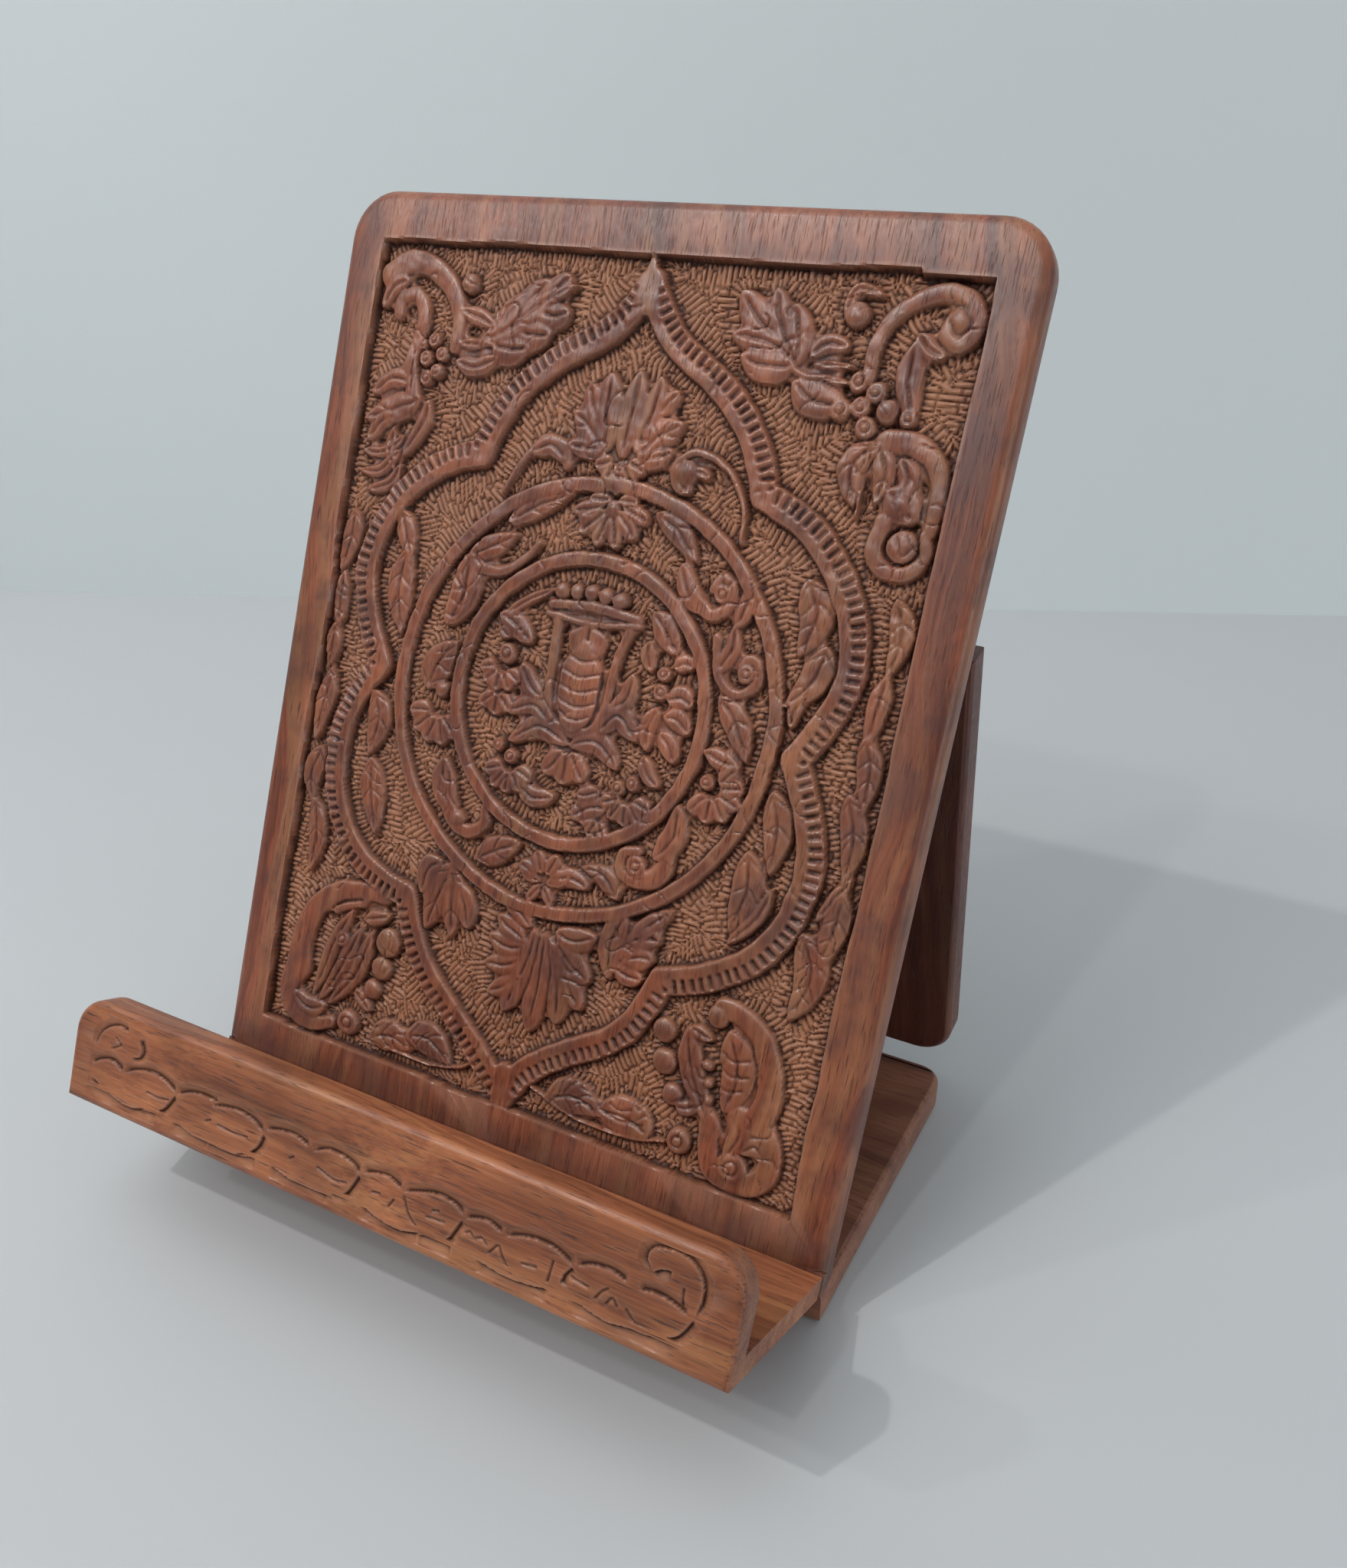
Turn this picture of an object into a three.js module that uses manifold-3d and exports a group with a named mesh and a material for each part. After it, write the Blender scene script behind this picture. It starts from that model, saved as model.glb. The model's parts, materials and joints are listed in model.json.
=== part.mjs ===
// A folding carved hardwood stand for a book or a tablet.
// Millimetres, +Z up. X runs across the stand and Y runs from the reader's side to the back.
// The origin is on the table, below the middle of the whole stand.
import * as THREE from 'three';
import { mergeVertices } from 'three/addons/utils/BufferGeometryUtils.js';
import Module from 'manifold-3d';

const wasm = await Module();
wasm.setup();

// Stance
const WIDTH = 200;
const RECLINE = THREE.MathUtils.degToRad(26);
const LEG_TILT = THREE.MathUtils.degToRad(8.8);

// Clearances
const SEAT_GAP = 0.3;
const SWING_GAP = 0.3;

// Back panel, measured up its face from the top of the ledge
const PANEL_RISE = 252.6;
const PANEL_THICKNESS = 9;
const PANEL_CORNER_R = 14;
const PANEL_ARRIS = 1.2;
const HEEL_SETBACK = 2.2;

// Carved field of the panel
const FIELD_SIDE_MARGIN = 12.2;
const FIELD_BOTTOM_MARGIN = 10.8;
const FIELD_TOP_MARGIN = 13.3;
const FIELD_DEPTH = 3;

// Raised carving: two rings inside a pointed, lobed band
const MEDALLION_RISE = 124.3;
const RELIEF_ROOT = 0.5;
const RING_WIDTH = 4.2;
const OUTER_RING_R = 57.3;
const INNER_RING_R = 37.9;
const RING_SINK = 0.7;
const BAND_SINK = 0.4;
const BAND_WIDTH = 7.4;
const LOBE_R = 36.3;
const LOBE_OFFSET = 38;
const LOBE_DROP = 26;
const BAND_WAIST_DROP = 2.3;
const KNEE_OFFSET = 3.3;
const TIP_BITE = 1;
const TOP_TIP_WIDTH = 14;
const BOTTOM_TIP_WIDTH = 9.5;

// Pulls on each ogee's curve, as shares of the way out to its knee and along to its tip
const TOP_OGEE = { knee: [0.8, 0.55], tip: [0.12, 0.6] };
const BOTTOM_OGEE = { knee: [0.88, 0.45], tip: [0.2, 0.62] };

// Ledge and lip
const SHELF_THICKNESS = 6;
const TROUGH_DEPTH = 47.5;
const LIP_THICKNESS = 9.5;
const LIP_RISE = 23;
const LIP_CORNER_R = 10;
const LIP_ARRIS = 1;
const SHELF_ARRIS = 0.6;

// Base
const BASE_THICKNESS = 10.6;
const BASE_CORNER_R = 7;
const BASE_ARRIS = 1.2;

// Rear leg
const LEG_THICKNESS = 9.6;
const LEG_SEAT_RISE = 160;
const FOOT_CORNER_R = 11;
const LEG_ARRIS = 1.2;

// Hinges and their screws
const HINGE_WIDTH = 30;
const HINGE_INSET = 40;
const LEAF_LENGTH = 13;
const LEAF_THICKNESS = 0.9;
const PIN_OFFSET = 2.5;
const BARREL_R = 2.1;
const PIN_R = 0.9;
const PIN_HEAD_R = 1.7;
const PIN_HEAD_THICKNESS = 0.7;
const SCREW_PITCH = 18;
const SCREW_SETBACK = 8.2;
const SCREW_LENGTH = 6;
const SCREW_HEAD_R = 2;
const SCREW_SHANK_R = 0.9;
const SCREW_TIP = 1.5;
const SCREW_SLOT_WIDTH = 0.5;
const SCREW_SLOT_DEPTH = 0.35;

// Dowels that hold the ledge to the panel and the lip to the ledge
const DOWEL_R = 1.25;
const DOWEL_SPREAD = 0.35 * WIDTH;
const SHELF_DOWEL_IN_PANEL = 3.6;
const SHELF_DOWEL_IN_SHELF = 7;
const SHELF_DOWEL_HEIGHT = 3.2;
const LIP_DOWEL_IN_SHELF = 3.6;
const LIP_DOWEL_IN_LIP = 7;

// Facets
const CORNER_STEPS = 5;
const ARRIS_STEPS = 1;
const RING_SIDES = 48;
const CURVE_STEPS = 8;
const BARREL_SIDES = 16;
const SCREW_SIDES = 12;
const DOWEL_SIDES = 12;

const HALF = WIDTH / 2;
const WEDGE = RECLINE + LEG_TILT;
const PANEL_HEIGHT = PANEL_RISE + SHELF_THICKNESS;
const LIP_FRONT = -(TROUGH_DEPTH + LIP_THICKNESS);

// Materials
function finish(color, roughness, metalness = 0) {
  return new THREE.MeshStandardMaterial({ color, roughness, metalness });
}
const panelWood = finish(0x8a5a48, 0.5);
const ledgeWood = finish(0x9a6242, 0.48);
const legWood = finish(0x7c5142, 0.52);
const pegWood = finish(0xb08a60, 0.7);
const brass = finish(0xb08d4a, 0.35, 1);

// Solids and geometries
function toSolid(geometry) {
  const bare = geometry.clone();
  bare.deleteAttribute('normal');
  bare.deleteAttribute('uv');
  const merged = mergeVertices(bare, 1e-4);
  const index = merged.index.array;
  const corners = [];
  for (let i = 0; i < index.length; i += 3) {
    const [a, b, c] = [index[i], index[i + 1], index[i + 2]];
    if (a !== b && b !== c && c !== a) {
      corners.push(a, b, c);
    }
  }
  const vertProperties = new Float32Array(merged.attributes.position.array);
  const triVerts = new Uint32Array(corners);
  return new wasm.Manifold(new wasm.Mesh({ numProp: 3, vertProperties, triVerts }));
}

function toGeometry(solid) {
  const mesh = solid.getMesh();
  const geometry = new THREE.BufferGeometry();
  geometry.setAttribute('position', new THREE.BufferAttribute(mesh.vertProperties, 3));
  geometry.setIndex(new THREE.BufferAttribute(mesh.triVerts, 1));
  geometry.computeVertexNormals();
  return geometry;
}

function cut(solid, geometries) {
  return geometries.reduce((rest, geometry) => rest.subtract(toSolid(geometry)), solid);
}

function piece(name, solid, material) {
  const mesh = new THREE.Mesh(toGeometry(solid), material);
  mesh.name = name;
  return mesh;
}

// A block between two corners
function block(low, high) {
  const size = high.map((value, i) => value - low[i]);
  const centre = high.map((value, i) => (value + low[i]) / 2);
  return new THREE.BoxGeometry(...size).translate(...centre);
}

// A rod along X between two places
function rodX(radius, from, to, sides) {
  return new THREE.CylinderGeometry(radius, radius, to - from, sides)
    .rotateZ(Math.PI / 2)
    .translate((from + to) / 2, 0, 0);
}

// An outline from low to high across the full width, with a radius at its two far corners
function boardOutline(low, high, radius) {
  const shape = new THREE.Shape();
  shape.moveTo(-HALF, low);
  shape.lineTo(HALF, low);
  shape.lineTo(HALF, high - radius);
  shape.absarc(HALF - radius, high - radius, radius, 0, Math.PI / 2);
  shape.lineTo(-HALF + radius, high);
  shape.absarc(-HALF + radius, high - radius, radius, Math.PI / 2, Math.PI);
  return shape;
}

// A board of that outline lying flat, with its arrises eased
function board(shape, thickness, arris) {
  return new THREE.ExtrudeGeometry(shape, {
    depth: thickness - 2 * arris,
    bevelThickness: arris,
    bevelSize: arris,
    bevelOffset: -arris,
    bevelSegments: ARRIS_STEPS,
    curveSegments: CORNER_STEPS,
  }).translate(0, 0, arris);
}

// The same board stood up: the outline's second axis is Z, and the front face is at y = front
function uprightBoard(shape, thickness, arris, front) {
  return board(shape, thickness, arris)
    .rotateX(Math.PI / 2)
    .translate(0, front + thickness, 0);
}

// The easel frame is the panel's own: Y is the depth behind its face, Z the height up the face
const heel = {
  y: -HEEL_SETBACK * Math.cos(RECLINE),
  z: BASE_THICKNESS + SEAT_GAP + HEEL_SETBACK * Math.sin(RECLINE),
};

function easelToStand(depth, height) {
  return {
    y: heel.y + depth * Math.cos(RECLINE) + height * Math.sin(RECLINE),
    z: heel.z - depth * Math.sin(RECLINE) + height * Math.cos(RECLINE),
  };
}

// Pin axes, each PIN_OFFSET off the two faces that it joins
const pinDepth = PANEL_THICKNESS + PIN_OFFSET;
const basePinDrop = BASE_THICKNESS + PIN_OFFSET - heel.z;
const basePinHeight = (basePinDrop + pinDepth * Math.sin(RECLINE)) / Math.cos(RECLINE);
const legPinHeight = LEG_SEAT_RISE - PIN_OFFSET / Math.tan(WEDGE / 2);
const basePin = easelToStand(pinDepth, basePinHeight);
const legPin = easelToStand(pinDepth, legPinHeight);

// The foot swings just clear of the base, and the base swings just clear of the leg
const legBack = PIN_OFFSET + LEG_THICKNESS;
const legReach = Math.sqrt((legPin.z - BASE_THICKNESS - SWING_GAP) ** 2 - legBack ** 2);
const legTop = PIN_OFFSET / Math.tan(WEDGE / 2) - SEAT_GAP / Math.sin(WEDGE);
const pinToLeg = (legPin.y - basePin.y) * Math.cos(LEG_TILT)
  + (legPin.z - basePin.z) * Math.sin(LEG_TILT) + PIN_OFFSET;
const baseSwing = pinToLeg - SWING_GAP;
const baseLength = basePin.y + Math.min(
  Math.sqrt(baseSwing ** 2 - (basePin.z - BASE_ARRIS) ** 2),
  BASE_ARRIS + Math.sqrt(baseSwing ** 2 - basePin.z ** 2),
);

// Hinge leaf frame: X along the pin, Y out of the wood, Z away from the pin along the wood
const leafFace = -PIN_OFFSET + SEAT_GAP + LEAF_THICKNESS;
const knuckleEdge = HINGE_WIDTH / 6;

function knuckle(from, to) {
  return toSolid(rodX(BARREL_R, from, to, BARREL_SIDES));
}

function screwSpots() {
  return [-SCREW_PITCH / 2, SCREW_PITCH / 2];
}

// Profile of a countersunk screw whose head is flush at height 0, grown all round by a margin
function screwProfile(margin) {
  const shank = SCREW_SHANK_R + margin;
  return [
    [0, -SCREW_LENGTH - margin],
    [shank, -SCREW_LENGTH + SCREW_TIP - margin],
    [shank, -LEAF_THICKNESS],
    [SCREW_HEAD_R + margin, 0],
    [0, 0],
  ].map(([r, y]) => new THREE.Vector2(r, y));
}

function screwAt(x, margin) {
  return new THREE.LatheGeometry(screwProfile(margin), SCREW_SIDES)
    .translate(x, leafFace, SCREW_SETBACK);
}

function screwSolid(x) {
  const slot = block(
    [x - SCREW_HEAD_R, leafFace - SCREW_SLOT_DEPTH, SCREW_SETBACK - SCREW_SLOT_WIDTH / 2],
    [x + SCREW_HEAD_R, leafFace + SCREW_SLOT_DEPTH, SCREW_SETBACK + SCREW_SLOT_WIDTH / 2],
  );
  return cut(toSolid(screwAt(x, 0)), [slot]);
}

// A leaf with its knuckles at the two ends, or with one in the middle
function leafSolid(endKnuckles) {
  const half = HINGE_WIDTH / 2;
  const inner = knuckleEdge - SEAT_GAP / 2;
  const outer = knuckleEdge + SEAT_GAP / 2;
  const spans = endKnuckles ? [[-half, -outer], [outer, half]] : [[-inner, inner]];
  const beyond = half + SEAT_GAP;
  const notches = endKnuckles ? [[-outer, outer]] : [[-beyond, -inner], [inner, beyond]];
  const bottom = leafFace - LEAF_THICKNESS;
  const plate = toSolid(block([-half, bottom, 0], [half, leafFace, LEAF_LENGTH]));
  const cleared = cut(plate, notches.map(([from, to]) => block(
    [from, bottom - SEAT_GAP, -BARREL_R],
    [to, leafFace + SEAT_GAP, BARREL_R + SEAT_GAP],
  )));
  const joined = spans.reduce((solid, span) => solid.add(knuckle(...span)), cleared);
  const bore = rodX(PIN_R + SEAT_GAP, -beyond, beyond, BARREL_SIDES);
  const holes = screwSpots().map((x) => screwAt(x, SEAT_GAP));
  return cut(joined, [bore, ...holes]);
}

function pinSolid() {
  const end = HINGE_WIDTH / 2 + SEAT_GAP;
  const profile = [
    [0, -end - PIN_HEAD_THICKNESS],
    [PIN_HEAD_R, -end - PIN_HEAD_THICKNESS],
    [PIN_HEAD_R, -end],
    [PIN_R, -end],
    [PIN_R, end],
    [PIN_HEAD_R, end],
    [PIN_HEAD_R, end + PIN_HEAD_THICKNESS],
    [0, end + PIN_HEAD_THICKNESS],
  ].map(([r, y]) => new THREE.Vector2(r, y));
  return toSolid(new THREE.LatheGeometry(profile, DOWEL_SIDES).rotateZ(Math.PI / 2));
}

// The leaf frames, each given in the frame of the board that the leaf is screwed to
const facing = {
  upPanel: new THREE.Euler(0, 0, 0),
  downPanel: new THREE.Euler(0, Math.PI, 0),
  alongBase: new THREE.Euler(Math.PI / 2, Math.PI, 0),
  downLeg: new THREE.Euler(Math.PI, 0, 0),
};

function leafFrame(turn, x, y, z) {
  const frame = new THREE.Group();
  frame.position.set(x, y, z);
  frame.rotation.copy(turn);
  frame.updateMatrix();
  return frame;
}

// Pilot holes for one leaf's screws, in its board's frame
function pilotHoles(frame) {
  const depth = SCREW_LENGTH + SEAT_GAP;
  return screwSpots().map((x) => new THREE
    .CylinderGeometry(SCREW_SHANK_R + SEAT_GAP, SCREW_SHANK_R + SEAT_GAP, depth, SCREW_SIDES)
    .translate(x, leafFace - depth / 2, SCREW_SETBACK)
    .applyMatrix4(frame.matrix));
}

function fillLeafFrame(frame, name, endKnuckles) {
  frame.add(piece(`${name}_leaf`, leafSolid(endKnuckles), brass));
  screwSpots().forEach((x, i) => {
    frame.add(piece(`${name}_screw_${i + 1}`, screwSolid(x), brass));
  });
  return frame;
}

// Dowels and their blind holes, in the easel frame
const dowelSpots = [['left', -DOWEL_SPREAD], ['middle', 0], ['right', DOWEL_SPREAD]];
const lipMiddle = LIP_FRONT + LIP_THICKNESS / 2;

function shelfDowel(x, margin) {
  const from = -SHELF_DOWEL_IN_SHELF - margin;
  const to = SHELF_DOWEL_IN_PANEL + margin;
  return new THREE.CylinderGeometry(DOWEL_R + margin, DOWEL_R + margin, to - from, DOWEL_SIDES)
    .translate(x, (from + to) / 2, SHELF_DOWEL_HEIGHT);
}

function lipDowel(x, margin) {
  const from = SHELF_THICKNESS - LIP_DOWEL_IN_SHELF - margin;
  const to = SHELF_THICKNESS + LIP_DOWEL_IN_LIP + margin;
  return new THREE.CylinderGeometry(DOWEL_R + margin, DOWEL_R + margin, to - from, DOWEL_SIDES)
    .rotateX(Math.PI / 2)
    .translate(x, lipMiddle, (from + to) / 2);
}

// Carved field, in the easel frame
const field = {
  side: HALF - FIELD_SIDE_MARGIN,
  low: SHELF_THICKNESS + FIELD_BOTTOM_MARGIN,
  high: PANEL_HEIGHT - FIELD_TOP_MARGIN,
};
const medallionHeight = SHELF_THICKNESS + MEDALLION_RISE;

function ring(radius) {
  const shape = new THREE.Shape();
  shape.absarc(0, medallionHeight, radius + RING_WIDTH / 2, 0, 2 * Math.PI);
  const hole = new THREE.Path();
  hole.absarc(0, medallionHeight, radius - RING_WIDTH / 2, 0, 2 * Math.PI);
  shape.holes.push(hole);
  return reliefSolid(shape, RING_SINK, RING_SIDES);
}

// One edge of the band: the outer for side 1, the inner for side -1
function bandEdge(path, side) {
  const radius = LOBE_R + side * BAND_WIDTH / 2;
  const waist = medallionHeight - BAND_WAIST_DROP;
  const upper = waist + LOBE_DROP;
  const lower = waist - LOBE_DROP;
  const kneeReach = KNEE_OFFSET + side * BAND_WIDTH / 2;
  const kneeTurn = Math.acos(kneeReach / radius);
  const waistTurn = Math.asin(LOBE_DROP / radius);
  const x = LOBE_OFFSET + kneeReach;
  const high = upper + radius * Math.sin(kneeTurn);
  const low = lower - radius * Math.sin(kneeTurn);
  const top = field.high + (side > 0 ? TIP_BITE : -TOP_TIP_WIDTH);
  const bottom = field.low - (side > 0 ? TIP_BITE : -BOTTOM_TIP_WIDTH);
  const pull = (hand, from, to, [out, along]) => [hand * x * out, from + along * (to - from)];
  const upTop = (hand, share) => pull(hand, high, top, share);
  const downBottom = (hand, share) => pull(hand, low, bottom, share);
  path.moveTo(0, bottom);
  path.bezierCurveTo(...downBottom(1, BOTTOM_OGEE.tip), ...downBottom(1, BOTTOM_OGEE.knee), x, low);
  path.absarc(LOBE_OFFSET, lower, radius, -kneeTurn, waistTurn);
  path.absarc(LOBE_OFFSET, upper, radius, -waistTurn, kneeTurn);
  path.bezierCurveTo(...upTop(1, TOP_OGEE.knee), ...upTop(1, TOP_OGEE.tip), 0, top);
  path.bezierCurveTo(...upTop(-1, TOP_OGEE.tip), ...upTop(-1, TOP_OGEE.knee), -x, high);
  path.absarc(-LOBE_OFFSET, upper, radius, Math.PI - kneeTurn, Math.PI + waistTurn);
  path.absarc(-LOBE_OFFSET, lower, radius, Math.PI - waistTurn, Math.PI + kneeTurn);
  path.bezierCurveTo(...downBottom(-1, BOTTOM_OGEE.knee), ...downBottom(-1, BOTTOM_OGEE.tip), 0, bottom);
  return path;
}

function band() {
  const shape = bandEdge(new THREE.Shape(), 1);
  shape.holes.push(bandEdge(new THREE.Path(), -1));
  return reliefSolid(shape, BAND_SINK, CURVE_STEPS);
}

// Raised carving of that outline, from inside the field's floor to sink below the face
function reliefSolid(shape, sink, curveSegments) {
  const root = FIELD_DEPTH + RELIEF_ROOT;
  const geometry = new THREE.ExtrudeGeometry(shape, {
    depth: root - sink,
    bevelEnabled: false,
    curveSegments,
  }).rotateX(Math.PI / 2).translate(0, root, 0);
  const bounds = block(
    [-field.side - RELIEF_ROOT, 0, field.low - RELIEF_ROOT],
    [field.side + RELIEF_ROOT, PANEL_THICKNESS, field.high + RELIEF_ROOT],
  );
  return toSolid(geometry).intersect(toSolid(bounds));
}

// Hinges: the panel leaf keeps the pin
const hingeSides = [['left', -HALF + HINGE_INSET], ['right', HALF - HINGE_INSET]];
const panelLeafFrames = [];
const baseLeafFrames = [];
const legLeafFrames = [];
for (const [side, x] of hingeSides) {
  panelLeafFrames.push({
    name: `base_hinge_${side}`,
    frame: leafFrame(facing.upPanel, x, pinDepth, basePinHeight),
  });
  panelLeafFrames.push({
    name: `leg_hinge_${side}`,
    frame: leafFrame(facing.downPanel, x, pinDepth, legPinHeight),
  });
  baseLeafFrames.push({
    name: `base_hinge_${side}`,
    frame: leafFrame(facing.alongBase, x, basePin.y, basePin.z),
  });
  legLeafFrames.push({
    name: `leg_hinge_${side}`,
    frame: leafFrame(facing.downLeg, x, 0, 0),
  });
}

function holesOf(frames) {
  return frames.flatMap(({ frame }) => pilotHoles(frame));
}

// Panel, ledge and lip, which are one rigid easel
const easel = new THREE.Group();
easel.position.set(0, heel.y, heel.z);
easel.rotation.x = -RECLINE;
easel.updateMatrix();

function panelSolid() {
  const outline = boardOutline(0, PANEL_HEIGHT, PANEL_CORNER_R);
  const blank = toSolid(uprightBoard(outline, PANEL_THICKNESS, PANEL_ARRIS, 0));
  const floor = BASE_THICKNESS + SEAT_GAP;
  const belowBase = block([-WIDTH, -WIDTH, -WIDTH], [WIDTH, WIDTH, floor])
    .applyMatrix4(easel.matrix.clone().invert());
  const recess = block(
    [-field.side, -FIELD_DEPTH, field.low],
    [field.side, FIELD_DEPTH, field.high],
  );
  const dowelHoles = dowelSpots.map(([, x]) => shelfDowel(x, SEAT_GAP));
  const carved = cut(blank, [recess]).add(ring(OUTER_RING_R)).add(ring(INNER_RING_R)).add(band());
  return cut(carved, [belowBase, ...dowelHoles, ...holesOf(panelLeafFrames)]);
}

function shelfSolid() {
  const outline = boardOutline(0, SHELF_THICKNESS, 0);
  const depth = -LIP_FRONT - SEAT_GAP;
  const blank = toSolid(uprightBoard(outline, depth, SHELF_ARRIS, LIP_FRONT));
  const holes = dowelSpots.flatMap(([, x]) => [shelfDowel(x, SEAT_GAP), lipDowel(x, SEAT_GAP)]);
  return cut(blank, holes);
}

function lipSolid() {
  const low = SHELF_THICKNESS + SEAT_GAP;
  const outline = boardOutline(low, SHELF_THICKNESS + LIP_RISE, LIP_CORNER_R);
  const blank = toSolid(uprightBoard(outline, LIP_THICKNESS, LIP_ARRIS, LIP_FRONT));
  return cut(blank, dowelSpots.map(([, x]) => lipDowel(x, SEAT_GAP)));
}

easel.add(piece('back_panel', panelSolid(), panelWood));
easel.add(piece('ledge_shelf', shelfSolid(), ledgeWood));
easel.add(piece('front_lip', lipSolid(), ledgeWood));
for (const [place, x] of dowelSpots) {
  easel.add(piece(`shelf_dowel_${place}`, toSolid(shelfDowel(x, 0)), pegWood));
  easel.add(piece(`lip_dowel_${place}`, toSolid(lipDowel(x, 0)), pegWood));
}
for (const { name, frame } of panelLeafFrames) {
  frame.add(piece(`${name}_pin`, pinSolid(), brass));
  easel.add(fillLeafFrame(frame, `${name}_panel`, true));
}

// Base, flat on the table
const base = new THREE.Group();

function baseSolid() {
  const outline = boardOutline(0, baseLength, BASE_CORNER_R);
  const blank = toSolid(board(outline, BASE_THICKNESS, BASE_ARRIS));
  return cut(blank, holesOf(baseLeafFrames));
}

base.add(piece('base_panel', baseSolid(), ledgeWood));
for (const { name, frame } of baseLeafFrames) {
  base.add(fillLeafFrame(frame, `${name}_base`, false));
}

// Rear leg, in a frame at its pin with Z up the leg
const leg = new THREE.Group();
leg.position.set(0, legPin.y, legPin.z);
leg.rotation.x = LEG_TILT;

function legSolid() {
  const outline = boardOutline(0, legReach + legTop, FOOT_CORNER_R);
  const blank = board(outline, LEG_THICKNESS, LEG_ARRIS)
    .rotateX(-Math.PI / 2)
    .translate(0, PIN_OFFSET, legTop);
  return cut(toSolid(blank), holesOf(legLeafFrames));
}

leg.add(piece('rear_leg', legSolid(), legWood));
for (const { name, frame } of legLeafFrames) {
  leg.add(fillLeafFrame(frame, `${name}_leg`, false));
}

// The whole stand, centred on its depth
const stand = new THREE.Group();
stand.add(easel, base, leg);
const front = easelToStand(LIP_FRONT, SHELF_ARRIS).y;
const rear = easelToStand(PANEL_THICKNESS, PANEL_HEIGHT - PANEL_ARRIS).y;
stand.position.y = -(front + rear) / 2;

export default stand;
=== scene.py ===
"""A folding carved hardwood book stand, dressed over its CAD frame."""
import json
import math

import bmesh
import bpy
import numpy as np
from mathutils import Matrix, Vector, geometry


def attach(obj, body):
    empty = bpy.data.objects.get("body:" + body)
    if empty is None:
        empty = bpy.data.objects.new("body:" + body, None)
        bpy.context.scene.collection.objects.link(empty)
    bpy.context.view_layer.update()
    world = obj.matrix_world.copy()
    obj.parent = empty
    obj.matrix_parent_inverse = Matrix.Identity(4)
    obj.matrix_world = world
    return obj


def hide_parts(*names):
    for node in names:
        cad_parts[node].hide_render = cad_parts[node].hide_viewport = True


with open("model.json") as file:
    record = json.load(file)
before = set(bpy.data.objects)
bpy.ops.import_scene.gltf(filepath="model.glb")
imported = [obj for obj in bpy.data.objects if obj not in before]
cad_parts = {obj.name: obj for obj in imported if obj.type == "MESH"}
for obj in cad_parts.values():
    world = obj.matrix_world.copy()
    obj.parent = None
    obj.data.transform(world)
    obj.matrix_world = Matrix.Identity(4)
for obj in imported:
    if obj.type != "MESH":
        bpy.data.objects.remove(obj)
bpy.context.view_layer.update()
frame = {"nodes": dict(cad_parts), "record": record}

MM = 0.001
# How far the panel and the leg lean, and the height of the ledge's top above the panel's heel line
RECLINE = math.radians(26)
LEG_TILT = math.radians(8.8)
LEDGE_TOP = 6.0


class Place:
    """A board's own frame in mm: X across it, Y along it, Z out of it."""

    def __init__(self, origin, along, out):
        self.origin = np.array(origin, float)
        self.along, self.out = along, out
        self.axes = np.array([(1, 0, 0), along, out], float)

    def inward(self, points):
        return (np.asarray(points) / MM - self.origin) @ self.axes.T

    def outward(self, points):
        return (np.asarray(points) @ self.axes + self.origin) * MM


# The panel's origin is on its heel line and its Z points at the reader
PANEL_UP = (0, math.sin(RECLINE), math.cos(RECLINE))
PANEL_OUT = (0, -math.cos(RECLINE), math.sin(RECLINE))
PANEL = Place((0, -34.979, 11.864), PANEL_UP, PANEL_OUT)
# The leg's origin is on its pins and its Z points to the back
LEG_UP = (0, -math.sin(LEG_TILT), math.cos(LEG_TILT))
LEG_OUT = (0, math.cos(LEG_TILT), math.sin(LEG_TILT))
LEG = Place((0, 42.0, 143.46), LEG_UP, LEG_OUT)
BASE = Place((0, 0, 0), (0, 1, 0), (0, 0, 1))


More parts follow.
